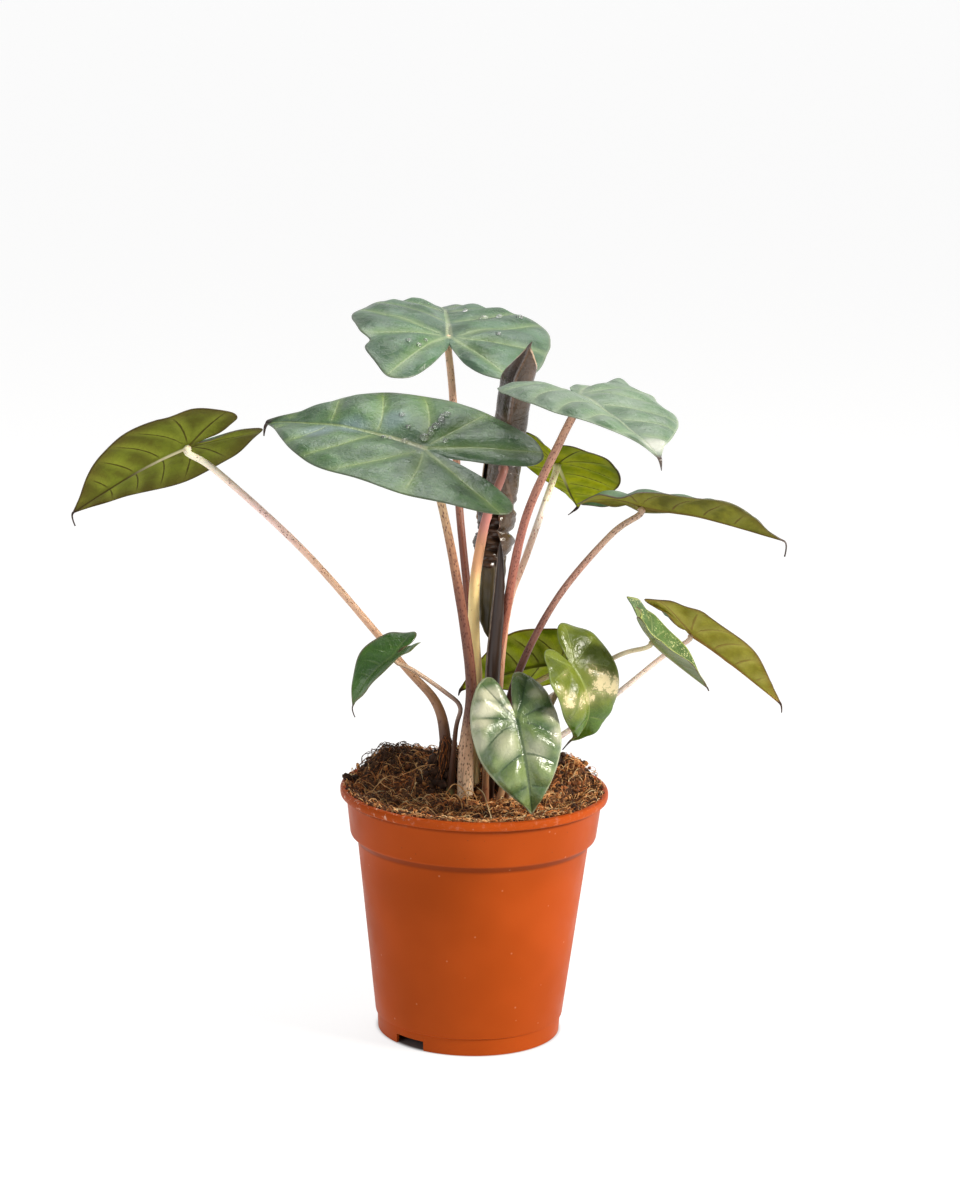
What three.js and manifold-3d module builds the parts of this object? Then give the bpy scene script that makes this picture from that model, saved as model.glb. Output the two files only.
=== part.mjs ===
// A potted alocasia: twelve arrow-shaped leaves and one rolled young leaf on slender stalks, in a round nursery pot.
// Millimetres, +Z up. The origin is the middle of the pot's base, on the ground, and -Y is the front.
import * as THREE from 'three';
import { mergeVertices } from 'three/addons/utils/BufferGeometryUtils.js';
import Module from 'manifold-3d';

const wasm = await Module();
wasm.setup();

// Driving dimensions
const RIM_RADIUS = 60;
const POT_HEIGHT = 112.6;
const POT_SIDES = 40;
const FOOT_RADIUS = 41;
const FOOT_HEIGHT = 7.6;
const FLOOR_HEIGHT = 4.5;
const PAD_RADIUS = 14;
const WALL = 1.2;
const SOIL_FRONT = 107;
const SOIL_BACK = 116;
const STALK_FOOT = 98;
const STALK_SIDES = 8;
const STALK_STEPS = 9;
const BLADE_THICKNESS = 0.8;
const TIP_THICKNESS = 0.4;
const NECK = 3;
const GAP = 0.3;
const HOLE_CLEARANCE = 0.4;

const smoothstep = (low, high, value) => THREE.MathUtils.smoothstep(value, low, high);
const mix = THREE.MathUtils.lerp;
const radians = THREE.MathUtils.degToRad;

// Colours and finishes
const finish = (color, roughness) => new THREE.MeshStandardMaterial({ color, roughness, metalness: 0 });
const MATERIALS = {
  pot: () => finish(0xd2652f, 0.45),
  soil: () => finish(0x4f3320, 0.95),
  greyGreenBlade: () => finish(0x6f8f74, 0.4),
  oliveBlade: () => finish(0x6c7333, 0.45),
  brightBlade: () => finish(0x86a32a, 0.45),
  freshBlade: () => finish(0x6d9a4c, 0.4),
  darkBlade: () => finish(0x2f6136, 0.35),
  bronzeBlade: () => finish(0x4a3a30, 0.3),
  pinkStalk: () => finish(0xb98a75, 0.5),
  redStalk: () => finish(0x9a5f5c, 0.5),
  tanStalk: () => finish(0xb08a62, 0.5),
  yellowStalk: () => finish(0xdcc07c, 0.5),
};

// A closed mesh from corner points and triangles
function meshFrom(points, triangles) {
  const geometry = new THREE.BufferGeometry();
  geometry.setAttribute('position', new THREE.Float32BufferAttribute(points.flatMap((p) => p.toArray()), 3));
  geometry.setIndex(triangles.flat());
  return geometry;
}

// Booleans on closed geometry
function toSolid(geometry) {
  const bare = geometry.clone();
  bare.deleteAttribute('normal');
  bare.deleteAttribute('uv');
  const merged = mergeVertices(bare, 1e-4);
  return new wasm.Manifold(new wasm.Mesh({
    numProp: 3,
    vertProperties: new Float32Array(merged.attributes.position.array),
    triVerts: new Uint32Array(merged.index.array),
  }));
}

function fromSolid(solid) {
  const mesh = solid.getMesh();
  const geometry = new THREE.BufferGeometry();
  geometry.setAttribute('position', new THREE.BufferAttribute(mesh.vertProperties, 3));
  geometry.setIndex(new THREE.BufferAttribute(mesh.triVerts, 1));
  return geometry;
}

// Pot: the wall's section as [radius, height], up the outside
const OUTER_WALL = [
  [FOOT_RADIUS, 0],
  [FOOT_RADIUS + 0.5, FOOT_HEIGHT],
  [42.3, 8.4],
  [51.9, 88.3],
  [55.2, 91.5],
  [57.2, 108.2],
  [58.9, 108.6],
  [RIM_RADIUS, 109.7],
  [RIM_RADIUS, 111.6],
  [59.3, POT_HEIGHT],
];
// and down the inside, to the raised floor and its pad
const INNER_WALL = [
  [58.2, POT_HEIGHT],
  [56.6, 111.6],
  [55.9, 107.4],
  [53.9, 92.2],
  [50.7, 89.1],
  [41, FLOOR_HEIGHT + 3],
  [39.2, FLOOR_HEIGHT + WALL],
  [PAD_RADIUS + 1, FLOOR_HEIGHT + WALL],
  [PAD_RADIUS - 1.2, WALL],
];
const UNDERSIDE = [
  [PAD_RADIUS, 0],
  [PAD_RADIUS + 2, FLOOR_HEIGHT],
  [FOOT_RADIUS - 1.6, FLOOR_HEIGHT],
  [FOOT_RADIUS - 1.2, 0],
];
const FOOT_SLOTS = { count: 2, first: -130, width: 15.6, height: 4.4 };
const DRAIN_HOLES = { count: 6, radius: 4, ring: 27 };

function lathe(profile, sides) {
  const geometry = new THREE.LatheGeometry(profile.map(([r, z]) => new THREE.Vector2(r, z)), sides);
  return geometry.rotateX(Math.PI / 2);
}

function potGeometry() {
  const profile = [[0, 0], ...UNDERSIDE, ...OUTER_WALL, ...INNER_WALL, [0, WALL]];
  let pot = toSolid(lathe(profile, POT_SIDES));
  for (let i = 0; i < FOOT_SLOTS.count; i++) {
    const slot = new THREE.BoxGeometry(8, FOOT_SLOTS.width, 2 * FOOT_SLOTS.height);
    slot.translate(FOOT_RADIUS - 0.5, 0, 0);
    slot.rotateZ(radians(FOOT_SLOTS.first + i * 360 / FOOT_SLOTS.count));
    pot = pot.subtract(toSolid(slot));
  }
  for (let i = 0; i < DRAIN_HOLES.count; i++) {
    const hole = new THREE.CylinderGeometry(DRAIN_HOLES.radius, DRAIN_HOLES.radius, 4, 12).rotateX(Math.PI / 2);
    hole.translate(DRAIN_HOLES.ring, 0, FLOOR_HEIGHT + WALL / 2);
    hole.rotateZ(radians((i + 0.5) * 360 / DRAIN_HOLES.count));
    pot = pot.subtract(toSolid(hole));
  }
  return fromSolid(pot);
}

// Soil: low at the front, mounded at the back, with soft lumps
function soilTop(x, y) {
  const rise = (SOIL_BACK - SOIL_FRONT) * smoothstep(-4, 24, y);
  const lumps = 0.9 * Math.sin(0.21 * x + 1) * Math.sin(0.17 * y + 0.4) + 0.5 * Math.sin(0.37 * x - 0.29 * y);
  const edge = 2.5 * smoothstep(46, 56, Math.hypot(x, y));
  return SOIL_FRONT + rise + lumps - edge;
}

function soilGeometry(cutters) {
  const sides = POT_SIDES;
  const side = [
    [PAD_RADIUS - 1.6, WALL + GAP],
    [PAD_RADIUS + 0.6, FLOOR_HEIGHT + WALL + GAP],
    [38.9, FLOOR_HEIGHT + WALL + GAP],
    [40.6, FLOOR_HEIGHT + 3.3],
    [50.3, 89.3],
    [53.5, 92.5],
    [54.9, 103],
  ];
  const topRadii = [54.9, 49, 42, 34, 26, 17, 8];
  const points = [new THREE.Vector3(0, 0, WALL + GAP)];
  const ring = (radius, height) => {
    for (let i = 0; i < sides; i++) {
      const x = radius * Math.cos(2 * Math.PI * i / sides);
      const y = radius * Math.sin(2 * Math.PI * i / sides);
      points.push(new THREE.Vector3(x, y, height(x, y)));
    }
  };
  side.forEach(([radius, z]) => ring(radius, () => z));
  topRadii.forEach((radius) => ring(radius, soilTop));
  const last = points.push(new THREE.Vector3(0, 0, soilTop(0, 0))) - 1;
  const rings = side.length + topRadii.length;
  const triangles = [];
  for (let i = 0; i < sides; i++) {
    const next = (i + 1) % sides;
    triangles.push([0, 1 + next, 1 + i]);
    for (let k = 0; k < rings - 1; k++) {
      const [a, b] = [1 + k * sides, 1 + (k + 1) * sides];
      triangles.push([a + i, a + next, b + next], [a + i, b + next, b + i]);
    }
    const top = 1 + (rings - 1) * sides;
    triangles.push([top + i, top + next, last]);
  }
  let soil = toSolid(meshFrom(points, triangles));
  cutters.forEach((cutter) => { soil = soil.subtract(toSolid(cutter)); });
  return fromSolid(soil);
}

// Stalk: a round tube along a smooth curve, with a thickness that changes from foot to head.
// With a clearance it is the hole that the stalk stands in: the same rings, wider, up to the first one in the open.
function tube(curve, radiusAt, { head = null, clearance = 0 } = {}) {
  const frames = curve.computeFrenetFrames(STALK_STEPS, false);
  const points = [];
  let steps = STALK_STEPS;
  for (let k = 0; k <= steps; k++) {
    const centre = curve.getPointAt(k / STALK_STEPS);
    if (clearance && centre.z > SOIL_BACK + 3) steps = k;
    let [side, across] = [frames.normals[k], frames.binormals[k]];
    if (head && k === STALK_STEPS) {
      side = side.clone().projectOnPlane(head.normal).normalize();
      across = head.normal.clone().cross(side);
    }
    if (k === 0) centre.z -= clearance;
    const radius = radiusAt(k / STALK_STEPS) + clearance;
    for (let i = 0; i < STALK_SIDES; i++) {
      const angle = 2 * Math.PI * i / STALK_SIDES;
      points.push(centre.clone()
        .addScaledVector(side, radius * Math.cos(angle))
        .addScaledVector(across, radius * Math.sin(angle)));
    }
  }
  const triangles = [];
  for (let i = 1; i < STALK_SIDES - 1; i++) triangles.push([0, i + 1, i]);
  for (let k = 0; k < steps; k++) {
    for (let i = 0; i < STALK_SIDES; i++) {
      const next = (i + 1) % STALK_SIDES;
      const [a, b] = [k * STALK_SIDES, (k + 1) * STALK_SIDES];
      triangles.push([a + i, a + next, b + next], [a + i, b + next, b + i]);
    }
  }
  const end = steps * STALK_SIDES;
  for (let i = 1; i < STALK_SIDES - 1; i++) triangles.push([end, end + i, end + i + 1]);
  return meshFrom(points, triangles);
}

// Half of a blade's edge, from the tip to the notch behind the stalk:
// along is 1 at the tip and -1 at the lobe's end, across is 1 at the half width
const HALF_EDGE = [
  [1, 0.02], [0.95, 0.07], [0.87, 0.17], [0.72, 0.42], [0.52, 0.72], [0.3, 0.93], [0.06, 1], [-0.2, 0.98],
  [-0.5, 0.88], [-0.78, 0.7], [-0.95, 0.5], [-1, 0.35], [-0.94, 0.22], [-0.7, 0.11], [-0.42, 0.04], [-0.2, 0],
];
const BLADE_RINGS = [0.22, 0.62, 1];

// The blade's own directions: forward along the midrib, left across it, and up out of its upper side
function bladeAxes({ heading, pitch, roll }) {
  const forward = new THREE.Vector3(
    Math.cos(radians(pitch)) * Math.cos(radians(heading)),
    Math.cos(radians(pitch)) * Math.sin(radians(heading)),
    Math.sin(radians(pitch)),
  );
  const level = new THREE.Vector3(-Math.sin(radians(heading)), Math.cos(radians(heading)), 0);
  const above = forward.clone().cross(level);
  const left = level.clone().multiplyScalar(Math.cos(radians(roll))).addScaledVector(above, Math.sin(radians(roll)));
  return { forward, left, up: forward.clone().cross(left) };
}

// A point of the blade's middle surface. The midrib bends down ahead of the stalk and the lobes bend down behind it;
// each half leaves the midrib at its fold angle and curls over towards its edge.
function bladePoint(leaf, axes, along, across, half) {
  const near = Math.min(1, Math.abs(across) / (0.2 * leaf.halfWidths[half]));
  const shared = (pair) => mix((pair[0] + pair[1]) / 2, pair[half], near);
  const reach = along >= 0 ? leaf.length : shared(leaf.lobes);
  const bend = radians(along >= 0 ? -leaf.droop : shared(leaf.lobeDroop)) || 1e-6;
  const slope = bend * Math.abs(along);
  const run = Math.sign(along) * reach * Math.sin(slope) / bend;
  const rise = Math.sign(along) * reach * (1 - Math.cos(slope)) / bend;
  const width = leaf.halfWidths[half];
  const fold = radians(leaf.fold[half]);
  const curl = radians(leaf.curl[half]) || 1e-6;
  const turned = fold - curl * Math.abs(across) / width;
  const out = Math.sign(across) * width / curl * (Math.sin(fold) - Math.sin(turned));
  const lift = width / curl * (Math.cos(turned) - Math.cos(fold));
  const twist = radians(leaf.twist) * along;
  const b = out * Math.cos(twist) - lift * Math.sin(twist);
  const n = out * Math.sin(twist) + lift * Math.cos(twist);
  return new THREE.Vector3(...leaf.joint)
    .addScaledVector(axes.forward, run - Math.sin(slope) * n)
    .addScaledVector(axes.left, b)
    .addScaledVector(axes.up, rise + Math.cos(slope) * n);
}

// The edge of one half of a leaf as [along, across in mm]
function halfEdge(leaf, half) {
  const sign = half === 0 ? 1 : -1;
  return HALF_EDGE.map(([along, width]) => {
    const full = along > 0.06 ? width ** leaf.fullness[half] : width;
    const shoulder = leaf.shift * (1 - along * along) * Math.max(0, full - 0.3) / 0.7;
    const spread = Math.max(0, -along) * leaf.splay[half] * Math.min(1, 3 * full) * leaf.lobes[half];
    return [along + shoulder, sign * (full * leaf.halfWidths[half] + spread)];
  });
}

// A thin closed sheet round a middle surface: a fan of rings from a centre point, thickened along its normals
function thicken(rings, thickness, tipThickness) {
  const count = rings[0].length;
  const middle = [rings.centre, ...rings.flat()];
  const faces = [];
  for (let i = 0; i < count; i++) {
    const next = (i + 1) % count;
    faces.push([0, 1 + i, 1 + next]);
    for (let k = 0; k < rings.length - 1; k++) {
      const [a, b] = [1 + k * count, 1 + (k + 1) * count];
      faces.push([a + i, b + i, b + next], [a + i, b + next, a + next]);
    }
  }
  const normals = middle.map(() => new THREE.Vector3());
  for (const [a, b, c] of faces) {
    const normal = middle[b].clone().sub(middle[a]).cross(middle[c].clone().sub(middle[a]));
    [a, b, c].forEach((i) => normals[i].add(normal));
  }
  normals.forEach((normal) => normal.normalize());
  const half = middle.map((_, i) => (i === middle.length - count ? tipThickness : thickness) / 2);
  const upper = middle.map((p, i) => p.clone().addScaledVector(normals[i], half[i]));
  const lower = middle.map((p, i) => p.clone().addScaledVector(normals[i], -half[i]));
  const offset = middle.length;
  const triangles = [...faces, ...faces.map(([a, b, c]) => [offset + a, offset + c, offset + b])];
  const edge = offset - count;
  for (let i = 0; i < count; i++) {
    const [a, b] = [edge + i, edge + (i + 1) % count];
    triangles.push([a, offset + a, offset + b], [a, offset + b, b]);
  }
  return meshFrom([...upper, ...lower], triangles);
}

function bladeGeometry(leaf) {
  const axes = bladeAxes(leaf);
  const leftEdge = halfEdge(leaf, 0);
  const rightEdge = halfEdge(leaf, 1).reverse();
  const outline = [
    { tip: true },
    ...leftEdge.map((edge) => ({ edge, half: 0 })),
    ...rightEdge.slice(1).map((edge) => ({ edge, half: 1 })),
  ];
  const end = bladePoint(leaf, axes, 1, 0, 0);
  const rings = BLADE_RINGS.map((scale) => outline.map(({ tip, edge, half }) => {
    if (!tip) return bladePoint(leaf, axes, edge[0] * scale, edge[1] * scale, half);
    if (scale < 1) return bladePoint(leaf, axes, scale * 1.02, 0, 0);
    return end.clone().add(new THREE.Vector3(...leaf.drip));
  }));
  rings.centre = bladePoint(leaf, axes, 0, 0, 0);
  return thicken(rings, BLADE_THICKNESS, TIP_THICKNESS);
}

function stalkCurve(leaf) {
  const [x, y] = leaf.foot;
  const { up } = bladeAxes(leaf);
  const head = new THREE.Vector3(...leaf.joint).addScaledVector(up, -(BLADE_THICKNESS / 2 + GAP));
  const neck = head.clone().addScaledVector(up, -NECK);
  const points = [
    new THREE.Vector3(x, y, STALK_FOOT),
    new THREE.Vector3(x, y, soilTop(x, y) - 3),
    ...leaf.via.map((p) => new THREE.Vector3(...p)),
    neck,
    head,
  ];
  return { curve: new THREE.CatmullRomCurve3(points), head: { point: head, normal: up } };
}

// Thickness from foot to head; the sheathing foot narrows within the first third
function stalkRadius([foot, waist, top]) {
  return (t) => (t < 0.35 ? mix(foot, waist, smoothstep(0.08, 0.35, t)) : mix(waist, top, (t - 0.35) / 0.65));
}

// The leaves. Pairs are [left half, right half]; angles in degrees.
const LEAVES = {
  far_left: {
    joint: [-131.4, 25, 259.2], heading: 168, pitch: -26, roll: 40, length: 61, lobes: [31, 31],
    halfWidths: [28, 28], droop: 15, lobeDroop: [17, 13], fold: [6, 18], curl: [14, 14], splay: [0.08, 0.07],
    twist: 6, fullness: [0.87, 0.9], shift: 0.01, drip: [0.5, 0, -6.5], color: 'oliveBlade',
    foot: [-12.5, 9.5], via: [[-16, 11.6, 143], [-34.4, 14, 165.5], [-76.5, 19, 212], [-117, 23.5, 247.5]],
    radii: [2.9, 1.7, 1.5], stalk: 'pinkStalk',
  },
  broad_left: {
    joint: [-26.1, -26, 269.9], heading: 155.5, pitch: 13.4, roll: -34, length: 83, lobes: [51, 48],
    halfWidths: [41, 41], droop: 30, lobeDroop: [15, 1], fold: [21, -2], curl: [2, 24], splay: [0.09, 0.1],
    twist: -3, fullness: [0.92, 0.99], shift: 0.04, drip: [-2, 0, -5.5], color: 'greyGreenBlade',
    foot: [-3.9, 2.4], via: [[-4.1, -1.5, 132], [-2.6, -6.5, 161], [-8.3, -13.3, 200.6], [-17.7, -21.4, 245.6]],
    radii: [3.7, 2.5, 1.6], stalk: 'tanStalk',
  },
  top: {
    joint: [-16.3, 60, 306.3], heading: 92, pitch: 12, roll: 6.4, length: 88, lobes: [40, 41],
    halfWidths: [41, 43], droop: 22, lobeDroop: [24, 12], fold: [10, 11], curl: [19, 17], splay: [0.22, 0.22],
    twist: -3, fullness: [0.93, 1], shift: 0.04, drip: [0, 3, -5], color: 'greyGreenBlade',
    foot: [-5.6, 14.4], via: [[-3, 18, 131], [-3, 26.5, 173.5], [-9.7, 38.7, 231], [-13.9, 50.7, 280]],
    radii: [2.3, 1.9, 1.7], stalk: 'redStalk',
  },
  upper_right: {
    joint: [40.1, -36, 296.2], heading: -68, pitch: -2.4, roll: 4.5, length: 81, lobes: [35, 33],
    halfWidths: [36.5, 34.5], droop: 14, lobeDroop: [22, 17], fold: [0, 23], curl: [21, 30], splay: [0.36, 0.05],
    twist: -6, fullness: [0.88, 0.89], shift: 0.02, drip: [1.3, 0, -5.3], color: 'greyGreenBlade',
    foot: [5.6, 9.2], via: [[6, 6.6, 146], [8, 4.4, 166], [11.8, -0.5, 192], [19.3, -15, 238], [33.5, -30, 276.4]],
    radii: [2.4, 2.2, 1.7], stalk: 'redStalk',
  },
  back_right: {
    joint: [34.2, 46, 252.1], heading: 76, pitch: -31.5, roll: 2.7, length: 55, lobes: [29, 29],
    halfWidths: [26, 28.5], droop: 0, lobeDroop: [2, 9], fold: [20, 5], curl: [14, 14], splay: [0, 0.06],
    twist: 1, fullness: [0.97, 0.96], shift: 0, drip: [-4.5, 0, -4], color: 'brightBlade',
    foot: [8.5, 14.6], via: [[9.8, 21, 147], [13, 29, 187.5], [22.9, 34.4, 212], [29.5, 41, 240]],
    radii: [1.9, 1.8, 1.5], stalk: 'pinkStalk',
  },
  right: {
    joint: [70.7, 12, 239.8], heading: -10, pitch: -4.5, roll: -19.5, length: 65, lobes: [25, 27],
    halfWidths: [28, 27], droop: 12, lobeDroop: [36, 28], fold: [25, 17], curl: [34, 23], splay: [0.05, 0.06],
    twist: -8, fullness: [0.9, 0.95], shift: 0.03, drip: [1, 0, -7.4], color: 'oliveBlade',
    foot: [11.2, 5.2], via: [[11.5, 6, 133], [18.5, 7.6, 163.7], [34.9, 9.4, 197.6], [57.3, 11, 226]],
    radii: [2.1, 1.8, 1.4], stalk: 'redStalk',
  },
  low_right: {
    joint: [95.9, 18, 180.6], heading: -5, pitch: -32, roll: -30, length: 50, lobes: [19, 23],
    halfWidths: [21, 22.5], droop: 9, lobeDroop: [-3, -2], fold: [28, 20], curl: [12, 22], splay: [0.12, 0.14],
    twist: -13, fullness: [1, 0.93], shift: -0.02, drip: [1.4, 0, -4.6], color: 'oliveBlade',
    foot: [16.8, 8], via: [[24.7, 9.5, 125], [41, 11.5, 135.6], [64, 14.2, 154], [84, 16.6, 171]],
    radii: [1.6, 1.4, 1.1], stalk: 'pinkStalk',
  },
  front: {
    joint: [17.5, -33, 151.2], heading: -54.5, pitch: -63, roll: 22, length: 43, lobes: [23, 22],
    halfWidths: [19.5, 21], droop: 41, lobeDroop: [25, 22], fold: [5, 15], curl: [25, 29], splay: [0.01, 0],
    twist: 6, fullness: [0.96, 0.95], shift: 0.02, drip: [0, -1, -2.5], color: 'freshBlade',
    foot: [5, -3.6], via: [[5.2, -14, 131], [8, -21, 142], [12, -27, 149]],
    radii: [1.7, 1.5, 1.2], stalk: 'tanStalk',
  },
  small_right: {
    joint: [76.7, -14, 184.4], heading: 20, pitch: -42, roll: 10, length: 34.5, lobes: [19, 18],
    halfWidths: [16.5, 16.5], droop: -5, lobeDroop: [-11, -15], fold: [36, 20], curl: [15, 12], splay: [0.18, 0.18],
    twist: -4, fullness: [0.84, 0.84], shift: 0.01, drip: [1.3, 0, -2], color: 'freshBlade',
    foot: [15.6, 1.2], via: [[19.6, -2, 142], [33, -1.5, 155], [60.8, -1.8, 173.8]],
    radii: [1.5, 1.3, 1], stalk: 'pinkStalk',
  },
  inner_right: {
    joint: [42.2, -20, 172.8], heading: -7, pitch: -50.5, roll: 29, length: 43.5, lobes: [18.5, 14],
    halfWidths: [19.5, 19], droop: 91, lobeDroop: [-2, 17], fold: [27, 7], curl: [21, 21], splay: [0.13, 0.13],
    twist: 21, fullness: [0.92, 0.9], shift: 0.01, drip: [-3.5, 0, -4.5], color: 'freshBlade',
    foot: [10.6, -2.6], via: [[17, -7.5, 129], [30.3, -13, 149.6], [36.5, -15.5, 163.5]],
    radii: [1.6, 1.4, 1.1], stalk: 'pinkStalk',
  },
  inner_back: {
    joint: [37.9, 42, 160.1], heading: 175, pitch: -7, roll: 45, length: 47, lobes: [20, 20],
    halfWidths: [22, 21], droop: 26, lobeDroop: [18, 16], fold: [24, 19], curl: [16, 22], splay: [0.08, 0.08],
    twist: 21, fullness: [0.89, 0.95], shift: 0.03, drip: [-1.5, 0, -2.5], color: 'brightBlade',
    foot: [13.4, 13.8], via: [[14.5, 20.4, 129], [17.6, 27, 143.6], [25.6, 33, 152]],
    radii: [1.6, 1.4, 1.2], stalk: 'tanStalk',
  },
  small_left: {
    joint: [-37.3, -8, 173.1], heading: 192, pitch: -33, roll: -11.5, length: 29, lobes: [13.5, 14.5],
    halfWidths: [13, 13.3], droop: 38, lobeDroop: [0, -2], fold: [21, 29], curl: [12, 18], splay: [0.12, 0.1],
    twist: -9, fullness: [0.93, 0.91], shift: 0.05, drip: [1, 0, -5.3], color: 'darkBlade',
    foot: [-10.9, 2.6], via: [[-9, -1, 138], [-7.2, -2.8, 149.5], [-14, -4, 156.5], [-28.6, -6.5, 167]],
    radii: [2.1, 1.1, 0.9], stalk: 'redStalk',
  },
};

// The young leaf: the same outline, still rolled round an upright axis. Its midrib faces the front; the left half
// is the outer wrap and the right half is wound inside it.
const ROLLED = {
  axis: [[4.6, 9, 222], [9, 9, 257], [13.4, 9, 297]],
  top: 312, joint: 257, lobeEnd: 186,
  halfWidth: 36, outerRadius: 7.8, innerRadius: 5.8,
  petiole: {
    foot: [-0.2, 9.6], via: [[-0.5, 8.6, 158], [-1.8, 5.5, 178], [-2.2, -2.6, 203], [-0.8, -2.8, 218], [2.4, -2.6, 236]],
    radii: [2.8, 3, 1.8],
  },
};
const ROLL_STEPS = [0.16, 0.34, 0.56, 0.78, 1];

function rolledPoint(height, arc) {
  const [low, , high] = ROLLED.axis;
  const t = (height - low[2]) / (high[2] - low[2]);
  const inward = arc < 0 ? smoothstep(0, 8, -arc) : 0;
  const radius = mix(ROLLED.outerRadius, ROLLED.innerRadius, inward);
  const angle = arc / ROLLED.outerRadius - Math.PI / 2;
  return new THREE.Vector3(
    mix(low[0], high[0], t) + radius * Math.cos(angle),
    mix(low[1], high[1], t) + radius * Math.sin(angle),
    height,
  );
}

function rolledBladeGeometry() {
  const { top, joint, lobeEnd, halfWidth } = ROLLED;
  const outline = [];
  const push = (along, across, sign) => {
    const height = along >= 0 ? mix(joint, top, along) : mix(joint, lobeEnd, -along);
    outline.push([height, sign * across * halfWidth]);
  };
  HALF_EDGE.forEach(([along, across]) => push(along, across, 1));
  HALF_EDGE.slice(0, -1).reverse().forEach(([along, across]) => push(along, across, -1));
  const rings = ROLL_STEPS.map((scale) => outline.map(([height, arc]) => (
    rolledPoint(mix(joint, height, scale), arc * scale))));
  rings.centre = rolledPoint(joint, 0);
  return thicken(rings, BLADE_THICKNESS, BLADE_THICKNESS);
}

// The spear: a tight roll that tapers to a point
const SPEAR = {
  foot: [6.3, 0.8],
  via: [[6.9, -3, 166], [8, -5, 190], [8.8, -6, 210]],
  tip: [8.6, -6.5, 226],
  radii: [2.3, 3.2, 0.5],
};

function spearCurve() {
  const [x, y] = SPEAR.foot;
  const points = [[x, y, STALK_FOOT], [x, y, soilTop(x, y) - 3], ...SPEAR.via, SPEAR.tip];
  return new THREE.CatmullRomCurve3(points.map((p) => new THREE.Vector3(...p)));
}

const spearRadius = (t) => {
  const [foot, belly, tip] = SPEAR.radii;
  return t < 0.5 ? mix(foot, belly, t / 0.5) : mix(belly, tip, smoothstep(0.6, 1, t));
};

// Assembly
const plant = new THREE.Group();
plant.name = 'potted_alocasia';

function add(name, geometry, material) {
  geometry.computeVertexNormals();
  const mesh = new THREE.Mesh(geometry, MATERIALS[material]());
  mesh.name = name;
  plant.add(mesh);
}

const holeCutters = [];
function addStalk(name, curve, radiusAt, material, head) {
  add(name, tube(curve, radiusAt, { head }), material);
  holeCutters.push(tube(curve, radiusAt, { clearance: HOLE_CLEARANCE }));
}

for (const [name, leaf] of Object.entries(LEAVES)) {
  add(`leaf_${name}_blade`, bladeGeometry(leaf), leaf.color);
  const { curve, head } = stalkCurve(leaf);
  addStalk(`leaf_${name}_petiole`, curve, stalkRadius(leaf.radii), leaf.stalk, head);
}

add('rolled_leaf_blade', rolledBladeGeometry(), 'bronzeBlade');
const rolledJoint = rolledPoint(ROLLED.joint, 0);
const rolledStalk = stalkCurve({
  ...ROLLED.petiole, joint: rolledJoint.toArray(), heading: -90, pitch: 90, roll: 0,
});
addStalk('rolled_leaf_petiole', rolledStalk.curve, stalkRadius(ROLLED.petiole.radii), 'yellowStalk', rolledStalk.head);
addStalk('spear', spearCurve(), spearRadius, 'bronzeBlade', null);

add('pot', potGeometry(), 'pot');
add('soil', soilGeometry(holeCutters), 'soil');

export default plant;
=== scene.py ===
"""A potted alocasia: arrow-shaped leaves, rolled young growth, soil and a round nursery pot.

Lengths are millimetres in the part's own frame, with +Z up and -Y to the front, until a mesh is made.
"""
import math
from types import SimpleNamespace

import bmesh
import bpy
import numpy as np
from mathutils import Matrix, Vector, noise


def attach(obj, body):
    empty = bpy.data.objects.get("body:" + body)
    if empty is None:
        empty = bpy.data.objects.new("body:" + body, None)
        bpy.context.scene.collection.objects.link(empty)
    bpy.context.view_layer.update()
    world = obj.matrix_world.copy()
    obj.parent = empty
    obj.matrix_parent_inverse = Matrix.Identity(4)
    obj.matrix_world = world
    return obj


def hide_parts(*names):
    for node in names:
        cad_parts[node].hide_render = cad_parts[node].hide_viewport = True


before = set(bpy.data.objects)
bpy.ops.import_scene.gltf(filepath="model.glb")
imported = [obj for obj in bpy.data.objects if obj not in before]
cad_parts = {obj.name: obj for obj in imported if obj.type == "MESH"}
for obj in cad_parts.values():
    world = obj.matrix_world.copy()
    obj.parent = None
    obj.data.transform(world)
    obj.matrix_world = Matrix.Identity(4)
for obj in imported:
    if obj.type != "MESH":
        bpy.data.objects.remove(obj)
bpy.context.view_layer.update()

MM = 0.001
FRONT = -math.pi / 2


# Camera
CAMERA_PLACE = (-7.4, -1441, 515)
CAMERA_DOWN, CAMERA_YAW, CAMERA_ROLL = 12.41, 0.31, 1.46
LENS = 100.08


def place_camera():
    """The camera, turned down, round and over by its three angles in degrees."""
    down, yaw, roll = (math.radians(a) for a in (CAMERA_DOWN, CAMERA_YAW, CAMERA_ROLL))
    forward = Vector((math.sin(yaw) * math.cos(down), math.cos(yaw) * math.cos(down), -math.sin(down)))
    level = Vector((math.cos(yaw), -math.sin(yaw), 0))
    above = level.cross(forward)
    right = math.cos(roll) * level + math.sin(roll) * above
    up = -math.sin(roll) * level + math.cos(roll) * above
    data = bpy.data.cameras.new("camera")
    data.lens = LENS
    data.sensor_width = 36
    camera = bpy.data.objects.new("camera", data)
    turn = Matrix((right, up, -forward)).transposed().to_4x4()
    camera.matrix_world = Matrix.Translation(Vector(CAMERA_PLACE) * MM) @ turn
    bpy.context.scene.collection.objects.link(camera)
    bpy.context.scene.camera = camera


# Small helpers
def smoothstep(low, high, value):
    t = np.clip((value - low) / (high - low), 0, 1)
    return t * t * (3 - 2 * t)


def mix(a, b, t):
    return a + (b - a) * t


def unit(vectors):
    vectors = np.asarray(vectors, float)
    return vectors / np.maximum(np.linalg.norm(vectors, axis=-1, keepdims=True), 1e-9)


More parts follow.
